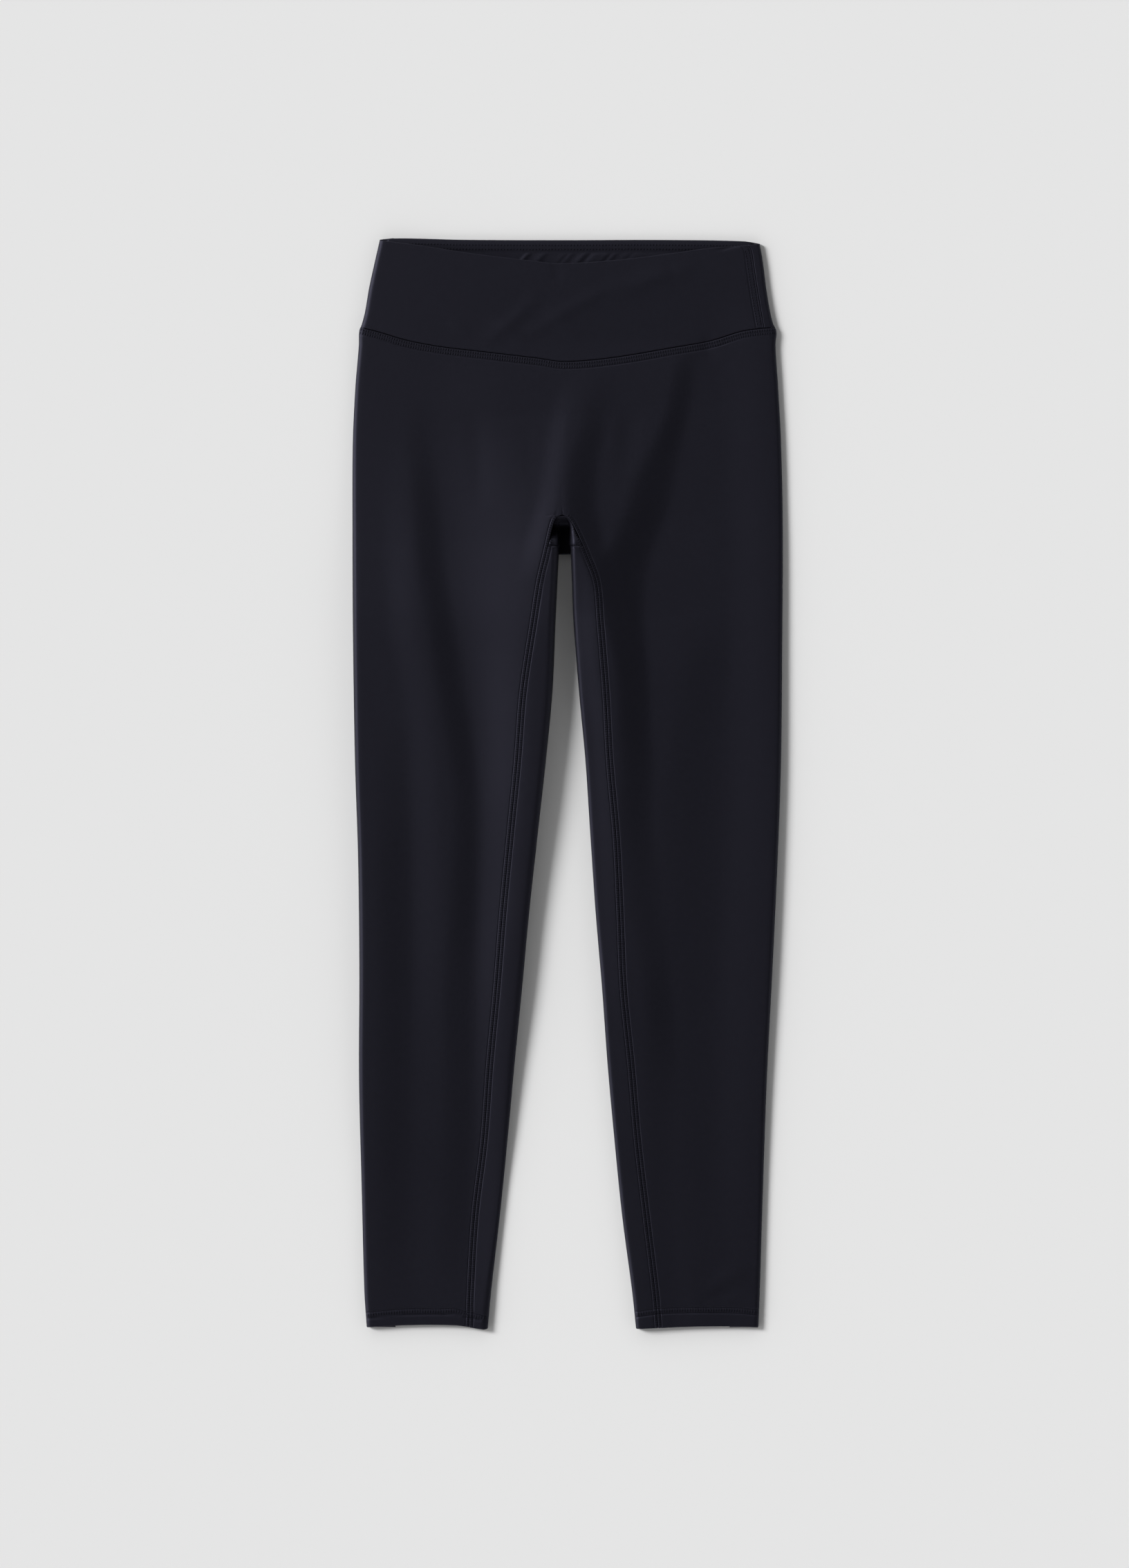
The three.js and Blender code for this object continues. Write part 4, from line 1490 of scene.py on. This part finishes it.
@dataclass
class Yoke(Panel):
    """What the front and back yoke share."""

    def front_y(self, x: Array | float, share: float) -> Array:
        """Height along the garment on the upper side, at a share of the depth below the top edge."""
        return mix(self.lay.front_edge(x), self.lay.yoke_seam(x) + SEAM_GAP, share)

    def back_y(self, x: Array | float, share: float) -> Array:
        """Height along the garment underneath, at a share of the depth below the top edge."""
        return mix(self.lay.back_edge(x), BACK_SEAM + SEAM_GAP, share)

    def side_seam(self, share: float) -> float:
        """X of the side seam that shows."""
        return float(self.lay.yoke_side(float(self.front_y(NEAR_YOKE_SIDE, share))))

    def side_fold(self, side: Side, share: float) -> Array:
        """The yoke's fold: its upper points follow the front and its lower ones the back.

        Args:
            side: Which fold.
            share: Share of the depth below the top edge.

        Returns:
            Its points, 3 numbers each.
        """
        side_y = float(self.back_y(side.toward * NEAR_OUTER_FOLD, share))
        edge = float(self.lay.edge[side](side_y))
        points = self.lay.roll(edge, side.toward, side_y, OUTER_SHOULDER, YOKE_WALL)
        upper = np.arange(len(points)) <= FOLD_STEPS
        front, back = self.front_y(points[:, 0], share), self.back_y(points[:, 0], share)
        points[:, 1] = np.where(upper, front, back)
        return points


@dataclass
class FrontYoke(Yoke):
    """The front yoke: two layers with a folded top edge, round the left fold and underneath."""

    columns: int = 110
    turn: float = 90.0

    node = "waistband_front"
    cut = Cut(0.36, 0.165, 0.0577)
    rests_on = ("waistband_back", "waistband_back_facing")
    carries = ("yoke_side_threads",)

    def patches(self) -> list[Patch]:
        """One grid, from the edge underneath to the side seam on the right.

        Returns:
            The grids of the piece, its outer face outwards.
        """
        rows = []
        for share in yoke_shares():
            fold = self.side_fold(Side.LEFT, share)
            seam = self.side_seam(share) - SEAM_GAP
            x = graded(seam, fold[0, 0], SEAM_COLUMNS, self.columns)[::-1]
            y = self.front_y(x, share)
            upper = np.stack([x, y, self.lay.top(x, y)], axis=1)
            last = fold[-1]
            end = float(self.lay.edge[Side.LEFT](last[1])) + YOKE_WRAP - SEAM_GAP
            under = np.linspace((end, float(self.back_y(end, share)), last[2]), last, CENTRE_POINTS)
            rows.append(joined(under, fold[::-1], upper))
        points = np.stack(rows)
        folded = turned(points[::-1], EDGE_RADIUS, self.turn, EDGE_STEPS, facing=-1)
        return [Patch(folded[::-1])]


@dataclass
class BackYoke(Yoke):
    """The back yoke: flat underneath and round the right fold, up to the side seam that shows."""

    columns: int = 60
    turn: float = 9.0

    node = "waistband_back"
    cut = Cut(0.37, 0.083, 0.0290)

    def patches(self) -> list[Patch]:
        """One grid, from the edge underneath at the left to the side seam on the upper side.

        Returns:
            The grids of the piece, its outer face outwards.
        """
        rows = []
        for share in yoke_shares()[::-1]:
            fold = self.side_fold(Side.RIGHT, share)
            side_y = float(self.back_y(-NEAR_OUTER_FOLD, share))
            start = float(self.lay.edge[Side.LEFT](side_y)) + YOKE_WRAP + SEAM_GAP
            x = spread(start, fold[-1, 0], self.columns)
            under = np.stack([x, self.back_y(x, share), np.zeros_like(x)], axis=1)
            seam = self.side_seam(share) + SEAM_GAP
            near = strip_columns(fold[0, 0] - seam)
            x = graded(seam, fold[0, 0], near, STRIP_STEPS["yoke"])[::-1]
            y = self.front_y(x, share)
            strip = np.stack([x, y, self.lay.top(x, y)], axis=1)
            rows.append(joined(under, fold[::-1], strip))
        return [Patch(turned(np.stack(rows), FACING_RADIUS, self.turn, FACING_STEPS))]


@dataclass(frozen=True)
class Gathers:
    """Small gathers that the elastic draws in the facing: their number, place, height and unevenness."""

    count: int = 8
    start: float = -49.0
    end: float = 47.0
    rise: float = 0.52
    lean: float = 0.9
    head: float = 461.5
    foot: float = 447.0
    head_fade: float = 3.0
    foot_fade: float = 8.0
    drift: tuple[float, float] = (0.035, 0.02)
    drift_waves: tuple[float, float] = (2.3, 5.1)
    weakest: float = 0.30
    strength_waves: float = 1.7

    def rise_at(self, x: Array, y: Array) -> Array:
        """How far they rise at some points.

        Args:
            x: X of each point.
            y: Height along the garment of each point.

        Returns:
            The rise at each point.
        """
        leant = x - self.lean * (y - self.foot)
        along = np.clip((leant - self.start) / (self.end - self.start), 0.0, 1.0)
        uneven = along
        for reach, waves in zip(self.drift, self.drift_waves):
            uneven = uneven + reach * np.sin(2 * np.pi * waves * along)
        swing = (1 - self.weakest) / 2
        strength = 1 - swing + swing * np.sin(2 * np.pi * self.strength_waves * along + 1.0)
        fade = ease((y - self.foot) / self.foot_fade) * ease((self.head - y) / self.head_fade)
        return self.rise * fade * strength * np.sin(np.pi * self.count * uneven) ** 2


@dataclass
class Facing(Panel):
    """The inner layer of the back yoke, with the soft roll of its elastic edge and its gathers.

    Its rows are depths below the top edge: single ones at the edge, then a start, an end and the steps.
    """

    bed: float = 2.9
    drop: float = 0.5
    inset: float = 7.0
    roll_depth: float = 9.5
    roll_rise: float = 0.45
    turn: float = 7.0
    edge_rows: tuple[float, ...] = (0, 0.3, 0.8)
    seen_rows: tuple[float, float, int] = (1.4, 26.0, 34)
    hidden_rows: tuple[float, float, int] = (28.0, 69.0, 12)
    columns: int = 220
    gathers: Gathers = Gathers()

    node = "waistband_back_facing"
    slot = "facing"
    cut = Cut(0.34, 0.080, 0.0251)
    rests_on = ("waistband_back",)
    carries = ("facing_threads",)

    def height(self, x: Array, depth: Array | float) -> Array:
        """Height of its face, at a depth below its top edge.

        Args:
            x: X of each point.
            depth: How far each is below the top edge.

        Returns:
            The height at each point.
        """
        y = self.lay.back_edge(x) - self.drop - depth
        roll = self.roll_rise * np.sin(np.pi * np.clip(np.asarray(depth) / self.roll_depth, 0.0, 1.0))
        return self.bed + roll + self.gathers.rise_at(x, y)

    def patches(self) -> list[Patch]:
        """One grid, with its top edge folded.

        Returns:
            The grids of the piece, its outer face outwards.
        """
        rows = []
        for depth in (*self.edge_rows, *spread(*self.seen_rows), *spread(*self.hidden_rows)):
            level_y = BACK_EDGE[0].y - depth
            start = float(self.lay.edge[Side.LEFT](level_y)) + self.inset
            end = float(self.lay.edge[Side.RIGHT](level_y)) - self.inset
            x = spread(start, end, self.columns)
            y = self.lay.back_edge(x) - self.drop - depth
            rows.append(np.stack([x, y, self.height(x, depth)], axis=1))
        folded = turned(np.stack(rows)[::-1], FACING_RADIUS, self.turn, FACING_STEPS, facing=-1)
        return [Patch(folded[::-1])]


# Sides and rings of a thread's small round shape
THREAD_SIDES = 8
THREAD_RINGS = 6
# Where the cloth is felt for a thread's tilt, in shares of its half width and in millimetres along it, and
# how far it stands out, as a share of its height
FELT_SHARE = 0.8
FELT_REACH = 0.6
STAND_OUT = 0.12
# How unevenly threads lie: their turn in radians, their stray across the row, and their half width
THREAD_TURN = 0.07
THREAD_STRAY = 0.07
THREAD_HALF_WIDTHS = (0.46, 0.52)


def copies_of_thread(name: str, frames: Array) -> bpy.types.Mesh:
    """One mesh that holds a copy of a small rounded thread for each frame.

    Args:
        name: Name of the mesh.
        frames: A 4 by 4 matrix for each copy, in millimetres.

    Returns:
        The mesh, in metres.
    """
    bm = bmesh.new()
    bmesh.ops.create_uvsphere(bm, u_segments=THREAD_SIDES, v_segments=THREAD_RINGS, radius=1.0)
    one = bpy.data.meshes.new("one_thread")
    bm.to_mesh(one)
    bm.free()
    points = np.zeros(len(one.vertices) * 3)
    one.vertices.foreach_get("co", points)
    corner, first = np.zeros(len(one.loops), np.int32), np.zeros(len(one.polygons), np.int32)
    one.loops.foreach_get("vertex_index", corner)
    one.polygons.foreach_get("loop_start", first)
    copies = len(frames)
    placed = np.einsum("nij,pj->npi", frames[:, :3, :3], points.reshape(-1, 3)) + frames[:, None, :3, 3]
    mesh = bpy.data.meshes.new(name)
    mesh.vertices.add(copies * len(one.vertices))
    mesh.loops.add(copies * len(one.loops))
    mesh.polygons.add(copies * len(one.polygons))
    number = np.arange(copies, dtype=np.int32)[:, None]
    mesh.vertices.foreach_set("co", (placed * MM).astype(np.float32).ravel())
    mesh.loops.foreach_set("vertex_index", (corner[None] + number * len(one.vertices)).ravel())
    mesh.polygons.foreach_set("loop_start", (first[None] + number * len(one.loops)).ravel())
    mesh.update(calc_edges=True)
    mesh.shade_smooth()
    bpy.data.meshes.remove(one)
    return mesh


@dataclass(frozen=True)
class BarRow:
    """One row of visible threads along a seam: its place and the size of each thread."""

    offset: float
    across: float
    along: float
    height: float = 0.42


@dataclass(frozen=True)
class Stitch:
    """A kind of sewing: its rows of threads, and how far apart the threads are along the seam."""

    rows: tuple[BarRow, ...]
    pitch: float


@dataclass
class Sewing:
    """Rows of threads along a line of the garment."""

    name: str
    route: Array
    stitch: Stitch
    surface: Callable[[Array, Array], Array]
    seed: int

    def stations(self) -> tuple[Array, Array]:
        """Evenly spaced points of the route, and the way it runs at each.

        Returns:
            The points and the ways, 2 numbers each, each way with a length of 1.
        """
        steps = np.linalg.norm(np.diff(self.route, axis=0), axis=1)
        length = np.concatenate([[0.0], np.cumsum(steps)])
        at = np.arange(self.stitch.pitch * 0.5, length[-1], self.stitch.pitch)

        def route_at(place: Array) -> Array:
            """Points at some lengths along the route."""
            return np.stack([np.interp(place, length, self.route[:, k]) for k in (0, 1)], axis=1)

        way = route_at(at + FELT_REACH) - route_at(at - FELT_REACH)
        return route_at(at), way / np.linalg.norm(way, axis=1, keepdims=True)

    def frames(self) -> Array:
        """The place and size of every thread: a 4 by 4 matrix each, in millimetres.

        Returns:
            The matrices of all rows, one after another.
        """
        rng = np.random.default_rng(self.seed)
        points, way = self.stations()
        side = np.stack([-way[:, 1], way[:, 0]], axis=1)
        count = len(points)
        found = []
        for row in self.stitch.rows:
            turn = rng.uniform(-THREAD_TURN, THREAD_TURN, (count, 1))
            stray = rng.uniform(-THREAD_STRAY, THREAD_STRAY, (count, 1))
            centre = points + side * (row.offset + stray)
            along = way * np.cos(turn) + side * np.sin(turn)
            across = side * np.cos(turn) - way * np.sin(turn)
            reach = row.across * rng.uniform(*THREAD_HALF_WIDTHS, (count, 1))
            low, high = (self.height(centre + across * reach * part) for part in (-FELT_SHARE, FELT_SHARE))
            behind, ahead = (self.height(centre + along * part) for part in (-FELT_REACH, FELT_REACH))
            right = unit(np.hstack([across, (high - low) / (2 * FELT_SHARE * reach)]))
            forward = unit(np.hstack([along, (ahead - behind) / (2 * FELT_REACH)]))
            up = unit(np.cross(right, forward))
            middle = (low + high + self.height(centre)) / 3 + STAND_OUT * row.height
            made = np.zeros((count, 4, 4))
            made[:, :3, 0] = right * reach
            made[:, :3, 1] = forward * row.along / 2
            made[:, :3, 2] = up * row.height / 2
            made[:, :3, 3] = np.hstack([centre, middle])
            made[:, 3, 3] = 1.0
            found.append(made)
        return np.concatenate(found)

    def height(self, points: Array) -> Array:
        """Height of the cloth at some points, as a column."""
        return self.surface(points[:, 0], points[:, 1])[:, None]

    def build(self, material: bpy.types.Material) -> bpy.types.Object:
        """Makes the threads.

        Args:
            material: Their finish.

        Returns:
            The piece.
        """
        piece = new_object(self.name, copies_of_thread(self.name, self.frames()))
        piece.data.materials.append(material)
        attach(piece, "root")
        LOG.info("%s: %d faces", self.name, len(piece.data.polygons))
        return piece


# Distance between the points of a seam's route
ROUTE_STEP = 0.4


def line_along_y(line: Callable[[Array], Array], head: float, foot: float) -> Array:
    """A line of the garment that runs from one height down to another."""
    y = np.arange(head, foot, -ROUTE_STEP)
    return np.stack([line(y), y], axis=1)


def line_along_x(line: Callable[[Array], Array], start: float, end: float) -> Array:
    """A line of the garment that runs across it."""
    x = np.arange(start, end, ROUTE_STEP)
    return np.stack([x, line(x)], axis=1)


INSEAM_STITCH = Stitch((BarRow(-1.55, 2.7, 1.05), BarRow(1.55, 2.7, 1.05)), pitch=2.0)
YOKE_SEAM_STITCH = Stitch((BarRow(-2.05, 2.5, 1.1), BarRow(-4.95, 2.5, 1.1)), pitch=2.15)
HEM_STITCH = Stitch(
    (BarRow(0.0, 3.0, 0.95), BarRow(2.0, 0.5, 1.7, 0.34), BarRow(-2.0, 0.5, 1.7, 0.34)), pitch=2.25
)
SIDE_STITCH = Stitch((BarRow(-2.6, 0.9, 1.6), BarRow(-5.6, 0.9, 1.6)), pitch=2.3)
FACING_STITCH = Stitch((BarRow(-4.3, 1.3, 1.5, 0.45), BarRow(-7.9, 1.3, 1.5, 0.45)), pitch=2.75)
GUSSET_STITCH = Stitch((BarRow(0.5, 0.6, 1.6, 0.38), BarRow(-1.5, 0.6, 1.6, 0.38)), pitch=1.9)
# Stretches of the gusset's foot that its sewing covers, from one X to another, and the first seam's seed
GUSSET_STRETCHES = {Side.RIGHT: (2.9, 12.4), Side.LEFT: (-16.2, -8.2)}
FIRST_SEED = 11


def sewing(lay: Lay, facing: Facing) -> list[Sewing]:
    """All the seams whose threads show.

    Args:
        lay: How the garment lies.
        facing: The facing, which carries a seam of its own.

    Returns:
        The seams, each with its threads' route and size.
    """

    def facing_height(x: Array, y: Array) -> Array:
        """Height of the facing's face at some places of the garment."""
        return facing.height(x, lay.back_edge(x) - facing.drop - y)

    foot = {
        side: np.array([[end, GUSSET_FOOT] for end in stretch]) for side, stretch in GUSSET_STRETCHES.items()
    }
    plans = (
        ("inseam_left_threads", line_along_y(lay.seam[Side.LEFT], 231.2, -470.0), INSEAM_STITCH),
        ("inseam_right_threads", line_along_y(lay.seam[Side.RIGHT], 231.6, -470.5), INSEAM_STITCH),
        ("yoke_seam_threads", line_along_x(lay.yoke_seam, -179.8, 179.8), YOKE_SEAM_STITCH),
        ("hem_left_threads", line_along_x(lay.hem_row, -174.2, -70.0), HEM_STITCH),
        ("hem_right_threads", line_along_x(lay.hem_row, 60.0, 164.6), HEM_STITCH),
        ("yoke_side_threads", line_along_y(lay.yoke_side, 466.0, 398.0), SIDE_STITCH),
        ("facing_threads", line_along_x(lay.back_edge, -150.0, 150.0), FACING_STITCH),
        ("gusset_right_threads", foot[Side.RIGHT], GUSSET_STITCH),
        ("gusset_left_threads", foot[Side.LEFT], GUSSET_STITCH),
    )
    return [
        Sewing(name, route, stitch, facing_height if stitch is FACING_STITCH else lay.on_top, seed)
        for seed, (name, route, stitch) in enumerate(plans, FIRST_SEED)
    ]


@dataclass(frozen=True)
class Studio:
    """The pale floor, the soft light from the left and the camera straight above."""

    floor_half: float = 4.0
    floor_drop: float = 0.0002
    floor_colour: float = 0.80
    key_strength: float = 3.72
    key_elevation: float = 28.0
    key_azimuth: float = 22.0
    key_size: float = 19.0
    ambient: float = 1.80
    dark_above: tuple[float, float] = (0.25, 0.70)
    lean: float = 0.45
    camera_x: float = -0.0028
    camera_height: float = 5.0
    lens: float = 132.3
    sensor: float = 36.0
    far: float = 20.0

    def camera(self) -> None:
        """Places the camera."""
        data = bpy.data.cameras.new("camera")
        data.lens = self.lens
        data.sensor_width = self.sensor
        data.clip_end = self.far
        eye = new_object("camera", data)
        eye.location = (self.camera_x, 0.0, self.camera_height)
        bpy.context.scene.camera = eye

    def floor(self) -> None:
        """Lays the floor, which isn't part of the object."""
        bm = bmesh.new()
        bmesh.ops.create_grid(bm, x_segments=1, y_segments=1, size=self.floor_half)
        bmesh.ops.translate(bm, verts=bm.verts, vec=(0.0, 0.0, -self.floor_drop))
        mesh = bpy.data.meshes.new("floor")
        bm.to_mesh(mesh)
        bm.free()
        material = bpy.data.materials.new("paper")
        material.use_nodes = True
        shader = material.node_tree.nodes["Principled BSDF"]
        shader.inputs["Base Color"].default_value = (self.floor_colour,) * 3 + (1.0,)
        shader.inputs["Roughness"].default_value = 1.0
        shader.inputs["Specular IOR Level"].default_value = 0.0
        mesh.materials.append(material)
        new_object("floor", mesh)

    def light(self) -> None:
        """Sets the soft key light, the ambient light and the colour handling."""
        data = bpy.data.lights.new("key", "SUN")
        data.energy = self.key_strength
        data.angle = math.radians(self.key_size)
        key = new_object("key", data)
        elevation, azimuth = math.radians(self.key_elevation), math.radians(self.key_azimuth)
        source = Vector(
            (
                -math.cos(elevation) * math.cos(azimuth),
                math.cos(elevation) * math.sin(azimuth),
                math.sin(elevation),
            )
        )
        key.rotation_mode = "QUATERNION"
        key.rotation_quaternion = source.to_track_quat("Z", "Y")
        world = bpy.data.worlds.new("studio")
        world.use_nodes = True
        backdrop = world.node_tree.nodes["Background"]
        backdrop.inputs["Color"].default_value = (1.0, 1.0, 1.0, 1.0)
        nodes = Nodes(world.node_tree)
        way = nodes.add("ShaderNodeSeparateXYZ")
        nodes.link(nodes.add("ShaderNodeTexCoord").outputs["Generated"], way.inputs[0])
        height = nodes.add("ShaderNodeMapRange", interpolation_type="SMOOTHSTEP")
        nodes.link(way.outputs["Z"], height.inputs["Value"])
        height.inputs["From Min"].default_value = self.dark_above[0]
        height.inputs["From Max"].default_value = self.dark_above[1]
        height.inputs["To Min"].default_value = self.ambient
        height.inputs["To Max"].default_value = 0.0
        sideways = nodes.math("MULTIPLY_ADD", way.outputs["X"], -self.lean, 1.0)
        nodes.link(nodes.math("MULTIPLY", height.outputs[0], sideways), backdrop.inputs["Strength"])
        scene = bpy.context.scene
        scene.world = world
        scene.view_settings.view_transform = "Standard"
        scene.view_settings.look = "None"
        scene.view_settings.exposure = 0.0
        scene.view_settings.gamma = 1.0


def main() -> None:
    """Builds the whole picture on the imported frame."""
    logging.basicConfig(level=logging.INFO, format="%(name)s %(message)s")
    studio = Studio()
    studio.camera()
    studio.floor()
    studio.light()
    stitches, grain = knit_group(), grain_group()
    knit, facing_look, thread = (cloth_material(look, stitches, grain) for look in (KNIT, FACING, THREAD))
    lay = Lay()
    facing = Facing(lay)
    panels = [
        Front(lay),
        *(Back(lay, side=side) for side in Side),
        Gusset(lay),
        FrontYoke(lay),
        BackYoke(lay),
    ]
    pieces = [panel.build(knit) for panel in panels]
    pieces.append(facing.build(facing_look))
    pieces.extend(seam.build(thread) for seam in sewing(lay, facing))
    by_name = {piece.name: piece for piece in pieces}
    for panel in (*panels, facing):
        panel.declare(by_name)


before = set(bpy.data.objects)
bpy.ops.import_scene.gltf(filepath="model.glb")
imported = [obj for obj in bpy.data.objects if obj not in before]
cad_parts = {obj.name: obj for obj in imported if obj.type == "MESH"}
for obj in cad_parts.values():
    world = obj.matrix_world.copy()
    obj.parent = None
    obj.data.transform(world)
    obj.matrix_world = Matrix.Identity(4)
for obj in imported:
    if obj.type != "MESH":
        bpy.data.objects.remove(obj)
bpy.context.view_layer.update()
if __name__ == "__main__":
    main()
